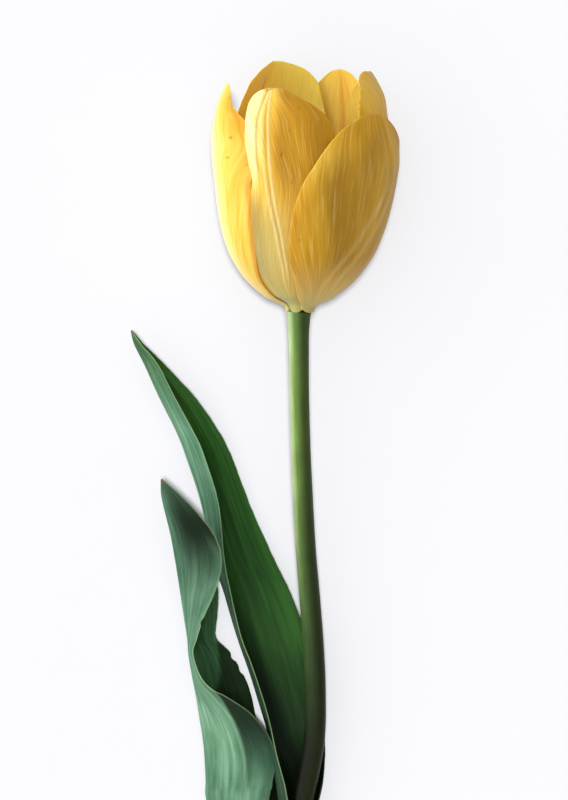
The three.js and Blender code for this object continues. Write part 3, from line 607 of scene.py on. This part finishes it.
def tints(name, s, az, a, fan):
    """How far each part of a blade leans to each of its colours, 0 to 1, painted light, shade and glow
    among them.
    """
    seed = 200 + 10 * list(TEPALS).index(name)
    drift = 0.5 + 0.28 * waves(seed, fan * 25 + 12 * s, 28.0, 3.0, 7)
    gold_and_painted_light = 0.42 + 0.2 * (drift - 0.5)
    painted_amber_glow = 0 * s
    tan_painted_shade = 0 * s
    cream_and_painted_highlight = 0.35 * fade(0.02, 0.3, s)
    green = 0.55 * fade(0.0, 0.11, s)
    speck = sum((strength * spot_at(s, az, *where) for strength, *where in SPECKS.get(name, [])), 0 * s)
    if name == "outer_left":
        # Painted light: paler toward its left side, which faces the lamp.
        gold_and_painted_light = (gold_and_painted_light - 0.42 * fade(-92, -58, az) + 0.03 * ease(-68, -44, az) * ease(0.2, 0.45, s)
            + 0.2 * ease(0.68, 0.84, s))
        # Painted shade and glow: orange where the right margin rolls in against the blade beneath.
        painted_amber_glow = (0.9 * ease(0.87, 0.96, a) * fade(0.38, 0.6, s) + 0.4 * ease(0.74, 0.95, a)
            * ease(0.4, 0.6, s) * fade(0.78, 0.85, s))
        # Painted shade where the right margin turns away beside the seam.
        tan_painted_shade = 0.25 * ease(0.8, 0.95, a) * fade(0.5, 0.64, s)
        cream_and_painted_highlight = 0.75 * fade(0.02, 0.33, s) * fade(-64, -52, az)
    elif name == "inner_front":
        ribs = line(s, az, RIB_LEFT, 0.85) + line(s, az, RIB_RIGHT, 0.85)
        # Painted shade in the groove between the ribs and along the crease.
        dark = 0.8 * hump(az, (through(RIB_LEFT, s) + through(RIB_RIGHT, s)) / 2, 0.75)
        dark += line(s, az, FRONT_CREASE, 1.3) * ease(0.45, 0.6, s)
        low_pale = fade(0.2, 0.62, s) * ease(-56, -40, az)
        # Painted light and shade: paler on the left flange that faces the lamp, deeper golden right of the
        # ribs where the blade turns away.
        gold_and_painted_light += (0.12 + 0.3 * ease(-27, -17, az) * ease(0.3, 0.6, s) - 0.38 * fade(-36, -27, az)
            * ease(0.4, 0.6, s))
        cream_and_painted_highlight = np.clip(0.7 * ribs * ease(0.05, 0.2, s) + 0.2 * low_pale * (1 - ease(-20, 12, az) * 0.4), 0,
            0.8)
        # Painted shade: also a little on the right side, the painted shadow of the left blade over the
        # lower left, and darker over the lower half.
        tan_painted_shade = (0.55 * dark * ease(0.1, 0.35, s) + 0.06 * ease(-14, 8, az) * ease(0.5, 0.75, s)
            + 0.5 * fade(-40, -27, az) * fade(0.4, 0.58, s) * ease(0.05, 0.2, s) + 0.42 * fade(0.3, 0.5, s))
        green += 0.4 * low_pale * fade(-30, -10, az)
    elif name == "outer_right":
        # Painted shade: the band is the wall of a shallow valley that turns from the lamp; the grey beside
        # it and the right side are in shade too.
        band = line(s, az, RIGHT_BAND, 9.5) * ease(0.1, 0.25, s) * fade(0.52, 0.72, s)
        grey = hump(az, through(RIGHT_BAND, s) + 17, 10) * ease(0.05, 0.2, s) * fade(0.62, 0.78, s)
        # Painted light: paler over its upper left, which faces the lamp.
        gold_and_painted_light += 0.32 - 0.24 * ease(0.42, 0.7, s) * fade(8, 34, az)
        tan_painted_shade = (0.55 * band + 0.38 * grey + 0.42 * ease(48, 80, az) * fade(0.5, 0.7, s)
            + 0.15 * fade(0.1, 0.3, s))
        cream_and_painted_highlight = np.clip(0.22 * (line(s, az, RIGHT_RIB_A, 2.6) + line(s, az, RIGHT_RIB_B, 3))
            * ease(0.04, 0.15, s) * fade(0.45, 0.75, s) + 0.4 * fade(0.03, 0.24, s), 0, 0.8)
    elif name == "outer_back":
        # Painted glow: orange over the inner face, where light comes through and bounces between the
        # blades.
        painted_amber_glow = (0.24 + 0.4 * hump(a, -0.12, 0.07) * ease(0.3, 0.6, s)
            + 0.25 * hump(a, -0.3, 0.06) * ease(0.5, 0.7, s))
        gold_and_painted_light = gold_and_painted_light - 0.08
    elif name == "inner_right":
        gold_and_painted_light += 0.15
        # Painted shade on the right side, which turns from the lamp.
        tan_painted_shade = 0.25 * ease(48, 75, az)
    else:
        flange = ease(0.35, 0.5, a) * ease(0.6, 0.75, s)
        # Painted light: the blade is paler all over, as though lit through.
        gold_and_painted_light = gold_and_painted_light - 0.14 - 0.14 * flange
        # Painted glow: orange over the right flange of the inner face.
        painted_amber_glow = 0.3 * flange
        # Painted shadow: a thin dark line cast by the rolled margin.
        tan_painted_shade = 0.5 * hump(az, -140.5 + 3 * (s - 0.9), 0.6) * ease(0.84, 0.88, s) * fade(0.95, 0.98, s)
        # Painted highlight: a bright line where the rolled margin catches the light.
        cream_and_painted_highlight += 0.6 * hump(az, -137.6 + 3 * (s - 0.9), 1.3) * ease(0.8, 0.88, s)
    return dict(gold_and_painted_light=gold_and_painted_light, painted_amber_glow=painted_amber_glow, tan_painted_shade=tan_painted_shade, cream_and_painted_highlight=cream_and_painted_highlight, green=green, speck=speck)


def outward(grid):
    """Unit directions straight out of a grid of points."""
    out = np.cross(np.gradient(grid, axis=1), np.gradient(grid, axis=0))
    return out / np.maximum(np.linalg.norm(out, axis=-1, keepdims=True), 1e-9)


def rounded(distance, width):
    """0 at a rim, rising as a quarter circle to 1 at the width in from it."""
    return np.sqrt(1 - (1 - np.clip(distance / width, 0, 1)) ** 2)


def blade_mesh(name, grid, thickness, marks, uv_grid):
    """A thin closed sheet round a grid of middle points. marks and UV are carried by its points."""
    half = outward(grid) * thickness[..., None] / 2
    rows, columns = thickness.shape
    count = rows * columns
    points = metres(np.concatenate([(grid + half).reshape(-1, 3), (grid - half).reshape(-1, 3)]))
    at = np.arange(count).reshape(rows, columns)
    a, b, c, d = at[:-1, :-1], at[:-1, 1:], at[1:, 1:], at[1:, :-1]
    front = np.stack([a, b, c, d], -1).reshape(-1, 4)
    back = np.stack([a, d, c, b], -1).reshape(-1, 4) + count
    rim = np.concatenate([at[:, 0][::-1], at[0, 1:], at[1:, -1], at[-1, 1:-1][::-1]])
    rim = np.append(rim, rim[0])
    wall = np.stack([rim[1:], rim[:-1], rim[:-1] + count, rim[1:] + count], -1)
    mesh = bpy.data.meshes.new(name)
    faces = np.concatenate([front, back, wall])
    mesh.from_pydata(points.tolist(), [], faces.tolist())
    mesh.shade_smooth()
    both = {label: np.tile(np.clip(values, 0, 1).ravel(), 2) for label, values in marks.items()}
    mark_points(mesh, **both, inside=np.repeat([0.0, 1.0], count))
    corner = np.zeros(len(mesh.loops), np.int32)
    mesh.loops.foreach_get("vertex_index", corner)
    flat = np.concatenate([uv_grid.reshape(-1, 2)] * 2)
    mesh.uv_layers.new(name="along_veins").data.foreach_set("uv", flat[corner].astype(np.float32).ravel())
    return mesh


def vein_noise(tree, across, lengthwise, scale, detail, roughness, distortion=0.0):
    """Noise drawn out along the veins of a blade."""
    uv = add_node(tree, "UVMap", {"uv_map": "along_veins"})
    drawn_out = add_node(tree, "Mapping", {}, {"Vector": uv, "Scale": (across, lengthwise, 1.0)})
    return add_node(tree, "TexNoise", {"noise_dimensions": "2D"}, {"Vector": drawn_out, "Scale": scale,
        "Detail": detail, "Roughness": roughness, "Distortion": distortion})


# Petal: two skins of domed cells that scatter light like satin, over pale tissue that lets it glow through.
# Carotene yellow deepens to a golden hue, pale ribbing shows where ribs carry no pigment, and fine veins
# streak it all from foot to margin. Painted light is mixed in: blades are paler where they face the lamp
# and deeper golden where they turn away, orange stands for painted glow and shade between the blades, brown
# for painted shade and shadow, a bright line for a painted highlight, and inner faces are painted lighter.
petal, tree, spot = new_material("tulip_petal_satin_yellow")
VEIN_MM = 0.4                 # spacing of the fine veins, as coarse as it needs to show
vein = vein_noise(tree, 50 / VEIN_MM, 5.0, 0.8, 2.0, 0.5, 0.1)
streaks = vein_noise(tree, 50 / 3.4, 2.4, 0.6, 3.0, 0.6)
cells = add_node(tree, "TexNoise", {}, {"Vector": spot, "Scale": 2600.0, "Detail": 1.0})
cloud = add_node(tree, "TexNoise", {}, {"Vector": spot, "Scale": 90.0, "Detail": 3.0})
mark = {label: add_node(tree, "Attribute", {"attribute_name": label}).outputs["Fac"]
    for label in ("gold_and_painted_light", "painted_amber_glow", "tan_painted_shade", "cream_and_painted_highlight", "green", "speck", "inside")}
depth = add_node(tree, "Math", {"operation": "MULTIPLY_ADD"}, {0: streaks, 1: 0.2, 2: -0.1})
depth = add_node(tree, "Math", {"operation": "ADD"}, {0: mark["gold_and_painted_light"], 1: depth})
depth = add_node(tree, "Math", {"operation": "MULTIPLY_ADD"}, {0: vein, 1: 0.2, 2: depth})
depth = add_node(tree, "Math", {"operation": "SUBTRACT"}, {0: depth, 1: 0.1})
pigment = add_node(tree, "ValToRGB", {}, {"Fac": depth})
set_stops(pigment, (0.0, "fff7c8"), (0.2, "fbe79c"), (0.42, "ecce5a"), (0.65, "d2a630"), (0.82, "b88a1c"),
    (1.0, "94690c"))
# Painted light: inner faces are lightened toward pale yellow, as though lit through the sheet.
lit_inside = add_node(tree, "Math", {"operation": "MULTIPLY"}, {0: mark["inside"], 1: 0.9})
dark_vein = add_node(tree, "MapRange", {}, {"Value": vein, "From Min": 0.54, "From Max": 0.8, "To Min": 0.0,
    "To Max": 0.26})
pale_vein = add_node(tree, "MapRange", {}, {"Value": vein, "From Min": 0.45, "From Max": 0.2, "To Min": 0.0,
    "To Max": 0.14})
colour = pigment
for amount, stain in ((lit_inside, "ffe068"), (mark["painted_amber_glow"], "e2961a"), (mark["tan_painted_shade"], "8a631e"),
        (mark["cream_and_painted_highlight"], "e6cf90"), (mark["green"], "b3b878"), (dark_vein, "b8801e"), (pale_vein, "fbeebc"),
        (mark["speck"], "7a4a14")):
    colour = add_node(tree, "Mix", {"data_type": "RGBA"}, {0: amount, 6: colour,
        7: linear(stain)}).outputs[2]
height = add_node(tree, "Math", {"operation": "MULTIPLY_ADD"}, {0: cells, 1: 0.12, 2: vein})
add_surface(tree, colour, (0.46, 0.6), cloud, height, 0.45, 0.25, IOR=1.4, Specular_IOR_Level=0.2,
    Sheen_Weight=0.06, Sheen_Roughness=0.4, Subsurface_Weight=0.5, Subsurface_Radius=(1.0, 0.8, 0.28),
    Subsurface_Scale=0.0014, glow=(0.16, "ffe27e"))

TEPAL_ROWS = 230
TEPAL_COLUMNS = 168
FOOT_CROWDING = 1.35
RIM_MM = 0.5                   # width over which a margin rounds off
# Margins nibbled into fine teeth: share of the height where they start and stop, and which side.
SAW_EDGE = {"outer_left": (0.8, 0.93, 1), "inner_right": (0.78, 0.96, -1)}
for name in TEPALS:
    u = (np.linspace(0, 1, TEPAL_ROWS) ** FOOT_CROWDING)[:, None] + np.zeros((1, TEPAL_COLUMNS))
    even = np.linspace(-1, 1, TEPAL_COLUMNS)[None, :] + np.zeros((TEPAL_ROWS, 1))
    a = 0.7 * even + 0.3 * np.sin(math.pi / 2 * even)
    share, left, right = np.moveaxis(along(TEPALS[name]["rows"], u), -1, 0)
    # Veins fan out: each runs off through a margin further up the blade.
    fan = a * (1 - 0.93 * u) ** 0.8
    half_width = np.radians(right - left) / 2 * np.maximum(wall_radius(share * BLOOM_HEIGHT), 1)
    seed = 300 + list(TEPALS).index(name)
    nibble = 0.07 * waves(seed, share * BLOOM_HEIGHT, 12, 2.5, 6) * ease(0.3, 0.75, share)
    if name in SAW_EDGE:
        start, stop, side = SAW_EDGE[name]
        toothed = ease(start, start + 0.02, share) * fade(stop - 0.02, stop, share) * (a * side > 0)
        nibble += 0.32 * toothed * waves(seed + 7, share * BLOOM_HEIGHT, 2.6, 1.3, 4)
    v = 0.5 + 0.5 * a * (1 - np.clip(nibble, -0.6, 0.6) * abs(a) ** 8 / np.maximum(half_width, 1.5))
    azimuth = left + (right - left) * v
    grid = tepal_surface(name, u, v, relief(name, share, azimuth, a, fan))
    from_margin = (1 - abs(a)) * half_width
    from_tip = (1 - u) * 22
    rounding = rounded(np.minimum(from_margin, from_tip), RIM_MM)
    thickness = TEPAL_THICKNESS * (1 - 0.5 * abs(a) ** 3) * (1 - 0.5 * u ** 6) * (0.22 + 0.78 * rounding)
    marks = tints(name, share, azimuth, a, fan)
    uv_grid = np.stack([0.5 + 0.5 * fan, share * 1.5], -1)
    mesh = blade_mesh("blade_" + name, grid, thickness, marks, uv_grid)
    mesh.materials.append(petal)
    keep_piece(new_object("petal_" + name, mesh), "tepal_" + name)

# ----------------------------------------
# Leaves. Two long folded blades that clasp the stalk, the lower round the upper. Thick living tissue with
# parallel veins: its inner face is dark green, and its outer face carries a bluish bloom of wax. A thin
# yellow-green line borders each margin, and painted shade darkens them where they fold and lie low.
# ----------------------------------------
LEAF_THICKNESS = 1.1
STEM_SKIN = GAP + LEAF_THICKNESS / 2
LEAF_FOLD = 0.22               # softness of the fold along the keel
# Foot to tip: [mm below the bloom, then near margin, keel and far margin, each as mm to the right
# of the stalk's axis and mm over it].
LEAVES = {"upper": dict(clasp=(150, 132), rows=[[168.5, -2.8, 3.2, -3.4, -2.7, 4.2, 0.9],
    [160, -3.6, 2.9, -4.8, -2.8, 4.4, 0.6], [151, -6.1, 1.6, -7.7, -4.0, 4.6, -0.6],
    [138, -10.2, -1.1, -12.2, -7.5, 3.9, -3.4], [125, -13.6, -2.8, -16.2, -9.7, 2.4, -4.8],
    [111.5, -17.6, -5.0, -20.1, -11.4, 0.2, -5.2], [102, -20.5, -6.3, -22.8, -12.8, -1.8, -6.2],
    [88, -22.7, -8.1, -26.2, -14.4, -6.0, -9.1], [79, -23.7, -8.9, -28.9, -15.2, -9.5, -11.9],
    [61, -24.9, -10.0, -31.7, -16.7, -16.2, -14.5], [45.5, -28.9, -10.0, -36.0, -16.8, -21.4, -15.0],
    [37.7, -32.3, -9.7, -38.8, -16.2, -25.3, -14.7], [28.2, -37.4, -9.5, -43.3, -14.5, -31.6, -14.0],
    [17, -43.5, -9.6, -48.3, -12.6, -41.7, -12.6], [10.6, -49.1, -9.6, -51.4, -11.4, -48.4, -11.3],
    [6.4, -52.1, -10.4, -52.5, -10.8, -52.0, -10.8]]), "lower": dict(clasp=(190, 180),
    rows=[[191, -2.8, 3.4, -3.5, -2.8, 4.3, 0.9], [183, -4.2, 3.6, -11.0, -3.8, 4.6, -2.4],
    [171, -6.8, 3.4, -22.0, -6.0, 2.2, -6.6], [155, -8.9, 3.2, -29.8, -8.0, -0.6, -7.9],
    [149, -9.8, 3.2, -31.4, -8.7, -3.2, -8.4], [140, -11.4, 2.8, -33.7, -9.8, -8.7, -9.2],
    [130.5, -17.6, 1.4, -36.0, -10.8, -16.0, -10.2], [122.5, -26.1, -1.0, -37.2, -11.5, -18.9, -10.8],
    [116.5, -33.4, -3.0, -38.0, -12.0, -21.7, -11.2], [108.5, -36.6, -4.5, -38.8, -12.4, -26.2, -11.1],
    [103.5, -35.6, -4.2, -39.3, -12.3, -30.2, -10.2], [96.5, -32.5, -3.4, -39.9, -11.6, -28.9, -8.8],
    [87.5, -27.7, -1.7, -40.5, -9.8, -27.4, -6.6], [79, -25.4, 0.1, -41.0, -7.9, -30.5, -5.4],
    [71, -27.0, 0.9, -41.7, -6.1, -34.1, -5.1], [62.8, -33.1, 0.6, -43.1, -3.9, -39.0, -4.2],
    [57.5, -38.2, -0.4, -43.9, -2.4, -41.7, -2.9], [52.9, -43.5, -1.2, -43.9, -1.6, -43.4, -1.7]]),}


def leaf_surface(name, u, v):
    """Middle surface of a leaf: v is 0 at its near margin, 0.5 at its keel, 1 at its far margin."""
    leaf = LEAVES[name]
    below, near_x, near_z, keel_x, keel_z, far_x, far_z = np.moveaxis(along(leaf["rows"], u), -1, 0)
    axis = stem_axis(below / STEM_LENGTH)
    nested = ease(183, 176, below) * (LEAF_THICKNESS + GAP) if name == "lower" else 0
    skin = stem_radius(below / STEM_LENGTH) + STEM_SKIN + nested
    w = 2 * v - 1
    soft = np.sqrt(w * w + LEAF_FOLD ** 2)
    full = math.sqrt(1 + LEAF_FOLD ** 2)
    base = LEAF_FOLD / 2
    near = ((soft - w) / 2 - base) / ((full + 1) / 2 - base)
    far = ((soft + w) / 2 - base) / ((full + 1) / 2 - base)
    flat_x = keel_x + (near_x - keel_x) * near + (far_x - keel_x) * far
    flat_z = keel_z + (near_z - keel_z) * near + (far_z - keel_z) * far
    turns = [(np.arctan2(-x, z) + 2 * math.pi) % (2 * math.pi) for x,
        z in ((near_x, near_z), (keel_x, keel_z), (far_x, far_z))]
    angle = turns[1] + (turns[0] - turns[1]) * near + (turns[2] - turns[1]) * far
    reach = (np.hypot(near_x, near_z) * near + np.hypot(far_x, far_z) * far
        + np.hypot(keel_x, keel_z) * np.maximum(1 - near - far, 0))
    held = ease(leaf["clasp"][1], leaf["clasp"][0], below)
    x = flat_x + (-reach * np.sin(angle) - flat_x) * held
    z = flat_z + (reach * np.cos(angle) - flat_z) * held
    distance = np.hypot(x, z)
    clear = np.where(distance < skin + 4, np.maximum(distance, skin) / distance, 1)
    return np.stack([axis[..., 0] + x * clear, -below, axis[..., 2] + z * clear], -1)


# Leaf: waxy skin over thick green tissue. The outer face is dulled blue-green by its wax, the inner face is
# glossier and deeper; pale parallel veins streak both. Painted shade mixes in near-black green where folds
# and the other half shade it.
leaf_skin, tree, spot = new_material("tulip_leaf_glaucous_wax")
LEAF_VEIN_MM = 0.55            # spacing of the parallel veins
vein = vein_noise(tree, 36 / LEAF_VEIN_MM, 1.6, 0.6, 3.0, 0.6, 0.05)
band = vein_noise(tree, 11.0, 0.9, 0.8, 3.0, 0.6)
bloom = add_node(tree, "TexNoise", {}, {"Vector": spot, "Scale": 120.0, "Detail": 5.0, "Roughness": 0.6})
fleck = add_node(tree, "TexNoise", {}, {"Vector": spot, "Scale": 1500.0, "Detail": 2.0})
mark = {label: add_node(tree, "Attribute", {"attribute_name": label}).outputs["Fac"]
    for label in ("inside", "edge", "deep_painted_shade", "dry", "lit_face", "young")}
waxed = add_node(tree, "ValToRGB", {}, {"Fac": band})
set_stops(waxed, (0.3, "40664c"), (0.5, "527c60"), (0.72, "6a9274"))
fresh = add_node(tree, "ValToRGB", {}, {"Fac": band})
set_stops(fresh, (0.3, "1b4014"), (0.5, "255119"), (0.72, "2f5f20"))
waxy = add_node(tree, "Math", {"operation": "MAXIMUM"}, {0: mark["inside"], 1: mark["lit_face"]})
dusty = add_node(tree, "MapRange", {}, {"Value": bloom, "From Min": 0.42, "From Max": 0.7, "To Min": 0.0,
    "To Max": 0.12})
dusty = add_node(tree, "Math", {"operation": "MULTIPLY"}, {0: dusty, 1: mark["inside"]})
colour = add_node(tree, "Mix", {"data_type": "RGBA"}, {0: waxy, 6: fresh, 7: waxed}).outputs[2]
for amount, stain in ((dusty, "9dbcae"), (mark["young"], "456f35"), (mark["deep_painted_shade"], "0b1a0a"),
        (mark["edge"], "9fba88"), (mark["dry"], "7d4a3a")):
    colour = add_node(tree, "Mix", {"data_type": "RGBA"}, {0: amount, 6: colour,
        7: linear(stain)}).outputs[2]
veined = add_node(tree, "MapRange", {}, {"Value": vein, "From Min": 0.25, "From Max": 0.75, "To Min": 0.76,
    "To Max": 1.24})
colour = add_node(tree, "VectorMath", {"operation": "SCALE"}, {0: colour, "Scale": veined})
height = add_node(tree, "Math", {"operation": "MULTIPLY_ADD"}, {0: fleck, 1: 0.1, 2: vein})
add_surface(tree, colour, (0.42, 0.58), bloom, height, 0.4, 0.3, IOR=1.42, Specular_IOR_Level=0.12,
    Subsurface_Weight=0.12, Subsurface_Radius=(0.5, 1.0, 0.25), Subsurface_Scale=0.0012)

LEAF_ROWS = 320
LEAF_COLUMNS = 110
# A sharp fold runs off the near margin of the lower leaf: [share of the length, place across].
LOWER_CREASE = [[0.0, 0.07], [0.14, 0.09], [0.21, 0.115], [0.27, 0.14], [0.32, 0.15], [0.375, 0.12],
    [0.445, 0.0], [0.52, -0.1]]
# Where the far half of the lower leaf turns away behind its own fold.
FLAP_FOLD = [[0.0, 0.5], [0.28, 0.56], [0.4, 0.68], [0.46, 0.76], [0.53, 0.87], [0.6, 1.05]]
for name in LEAVES:
    u = np.linspace(0, 1, LEAF_ROWS)[:, None] + np.zeros((1, LEAF_COLUMNS))
    even = np.linspace(-1, 1, LEAF_COLUMNS)[None, :] + np.zeros((LEAF_ROWS, 1))
    w = 0.75 * even + 0.25 * np.sin(math.pi / 2 * even)
    middle = leaf_surface(name, u, 0.5 + 0.5 * w)
    stretch = np.linalg.norm(np.diff(middle, axis=1), axis=-1)
    from_near = np.concatenate([np.zeros((LEAF_ROWS, 1)), np.cumsum(stretch, axis=1)], axis=1)
    girth = from_near[:, -1:]
    to_edge = np.minimum(from_near, girth - from_near)
    length = u * 170
    wander = 0.045 * waves(500 + len(name), length + 40 * (w > 0), 14, 1.6, 8)
    wander = wander * ease(0.04, 0.15, u) * fade(0.9, 1, u)
    if name == "lower":
        nick = ease(0.624, 0.634, u) * fade(0.636, 0.648, u) * (w < 0) * 0.7
        nick += ease(0.507, 0.513, u) * fade(0.515, 0.53, u) * (w > 0) * 0.55
        nick += ease(0.478, 0.484, u) * fade(0.486, 0.5, u) * (w > 0) * 0.35
        wander = wander - nick
    v = 0.5 + 0.5 * w * (1 + wander * abs(w) ** 9 * 2 / np.maximum(girth, 2))
    grid = leaf_surface(name, u, v)
    free = ease(0.0, 0.12, u) * fade(0.93, 1, u)
    raised = (0.05 * waves(510 + len(name), w * 18, 5, 1.1, 8) + 0.22
        * waves(520 + len(name), length + 8 * w, 60, 14, 4) * abs(w))
    raised = raised * free * ease(0, 2.5, to_edge) * 0.8
    if name == "lower":
        beyond = np.maximum(through(LOWER_CREASE, u) - v, 0) * girth
        raised += 0.75 * (np.sqrt(beyond ** 2 + 0.04) - 0.2) * ease(0.08, 0.2, u) * fade(0.42, 0.47, u)
    grid += outward(grid) * raised[..., None]
    rounding = rounded(np.minimum(to_edge, (1 - u) * 60 + 0.1), 0.6)
    thickness = (0.8 * LEAF_THICKNESS * (1 - 0.5 * abs(w) ** 4) * (1 - 0.4 * u ** 4)
        * (0.25 + 0.75 * rounding))
    edge = 0.45 * fade(0.05, 0.4, to_edge) * (w < 0)
    if name == "upper":
        lit_face = 0 * u
        # Painted shade: beside the keel on the far half, over the lower part of each half, and toward the
        # tip of the near half.
        deep_painted_shade = (0.34 - 0.24 * ease(0.25, 0.6, u)) * fade(0, 0.6, w) * ease(-0.12, 0.06, w)
        deep_painted_shade += (0.8 * fade(0.36, 0.56, u) + 0.35 * ease(0.7, 0.95, u)) * (w < 0)
        deep_painted_shade += (0.3 * fade(0.1, 0.4, u) + 0.6 * fade(0.25, 0.62, u)) * (w > 0)
    else:
        crease = through(LOWER_CREASE, u)
        turned = ease(-0.03, 0.03, v - through(FLAP_FOLD, u)) * fade(0.66, 0.74, u)
        # Painted light: part of the inner face of the lower leaf takes the paler waxed colour where it lies
        # open to the lamp.
        lit_face = 0.3 * (1 - turned) * ease(0.3, 0.45, u) * (w > 0)
        shaded = hump(u, 0.865, 0.125) * fade(-0.5, 0.1, w)
        shaded = shaded * (0.45 + 0.55 * np.maximum(ease(0.76, 0.84, u), ease(-1, -0.75, w)))
        beyond_crease = ease(0, 0.018, crease - v) * fade(0.43, 0.47, u) * ease(0.22, 0.36, u)
        # Painted shade: a little all over, strongly over the near half toward the tip, over the flap turned
        # behind its fold and beyond the crease.
        deep_painted_shade = (0.07 + 0.85 * shaded + 0.2 * hump(u, 0.77, 0.08) + 0.8 * turned + 0.85 * beyond_crease
            + 0.25 * ease(0.9, 1, u))
        edge += (0.14 * hump(v, crease + 0.004, 0.006) * ease(0.1, 0.2, u) * fade(0.42, 0.46, u))
    marks = dict(lit_face=lit_face, edge=edge, deep_painted_shade=deep_painted_shade, dry=0.8 * ease(0.98, 1, u),
        young=0.5 * ease(0.72, 0.95, u) * (name == "upper"))
    uv_grid = np.stack([0.5 + 0.5 * w, u * 6], -1)
    mesh = blade_mesh("leaf_blade_" + name, grid, thickness, marks, uv_grid)
    mesh.materials.append(leaf_skin)
    keep_piece(new_object("green_leaf_" + name, mesh), "leaf_" + name)

# ----------------------------------------
# Table, camera and studio. A plain pale sheet under the flower, one wide soft lamp from its left
# and a pale room all round, seen from straight above.
# ----------------------------------------
floor_finish, tree, spot = new_material("matt_white_paper")
grain = add_node(tree, "TexNoise", {}, {"Vector": spot, "Scale": 60.0, "Detail": 2.0})
tone = add_node(tree, "MapRange", {}, {"Value": grain, "To Min": 0.0, "To Max": 0.06})
white = add_node(tree, "Mix", {"data_type": "RGBA"}, {0: tone, 6: linear("8c8c8e"),
    7: linear("858588")}).outputs[2]
paper = add_node(tree, "BsdfPrincipled", {}, {"Base Color": white, "Roughness": 0.9,
    "Specular IOR Level": 0.1})
add_node(tree, "OutputMaterial", {}, {"Surface": paper})
FLOOR_HALF = 6.0               # metres
FLOOR_TOP = -0.0002
floor_mesh = bpy.data.meshes.new("table_sheet")
corners = [(x * FLOOR_HALF, y * FLOOR_HALF, FLOOR_TOP) for x, y in ((-1, -1), (1, -1), (1, 1), (-1, 1))]
floor_mesh.from_pydata(corners, [], [(0, 1, 2, 3)])
floor_mesh.materials.append(floor_finish)
floor = new_object("table_sheet", floor_mesh)

glass = bpy.data.lights.new("window_left", "AREA")
glass.size = 0.6
glass.energy = 8.6
glass.color = linear("fffaf0")[:3]
window = new_object("window_left", glass)
window.location = (-0.95, 0.3, 0.6)
window.rotation_euler = Vector((0.95, -0.28, -0.58)).to_track_quat("-Z", "Y").to_euler()

sky = bpy.data.lights.new("over_table", "SUN")
sky.energy = 8.3
sky.angle = math.radians(7)
table_light = new_object("over_table", sky)
table_light.location = (0, 0, 3)


def lights_only(source, label, state):
    """Sets whether a lamp lights the table sheet alone, or everything but it."""
    group = bpy.data.collections.new(label)
    group.objects.link(floor)
    source.light_linking.receiver_collection = group
    group.collection_objects[0].light_linking.link_state = state


lights_only(window, "window_keeps_off_table", "EXCLUDE")
lights_only(table_light, "table_light_reaches", "INCLUDE")

world = bpy.data.worlds.new("pale_room")
world.use_nodes = True
tree = world.node_tree
tree.nodes.clear()
looking = add_node(tree, "TexCoord").outputs["Generated"]
axes = add_node(tree, "SeparateXYZ", {}, {0: looking})
to_left = add_node(tree, "MapRange", {"interpolation_type": "SMOOTHSTEP"},
    {"Value": axes.outputs["X"], "From Min": 0.9, "From Max": -0.9, "To Min": 0.3, "To Max": 1.26})
overhead = add_node(tree, "MapRange", {"interpolation_type": "SMOOTHSTEP"},
    {"Value": axes.outputs["Z"], "From Min": 0.5, "From Max": 1.0, "To Min": 0.0, "To Max": 0.75})
room = add_node(tree, "Math", {"operation": "ADD"}, {0: to_left, 1: overhead})
near_horizon = add_node(tree, "MapRange", {"interpolation_type": "SMOOTHSTEP"},
    {"Value": axes.outputs["Z"], "From Min": 0.2, "From Max": 0.08})
strength = add_node(tree, "Mix", {}, {0: near_horizon, 2: room, 3: 1.0})
backdrop = add_node(tree, "Background", {}, {"Color": linear("fbfbfd"), "Strength": strength})
add_node(tree, "OutputWorld", {}, {"Surface": backdrop})
bpy.context.scene.world = world
bpy.context.scene.view_settings.view_transform = "Standard"
bpy.context.scene.view_settings.look = "None"

CAMERA_HEIGHT = 1.0
FRAME_MIDDLE = metres([-4.74, -28.2, 0])
view = bpy.data.cameras.new("camera")
view.sensor_fit = "VERTICAL"
view.sensor_height = 36.0
view.lens = 141.525
view.clip_end = 60.0
camera = new_object("camera", view)
camera.location = (FRAME_MIDDLE[0], FRAME_MIDDLE[1], CAMERA_HEIGHT)
bpy.context.scene.camera = camera
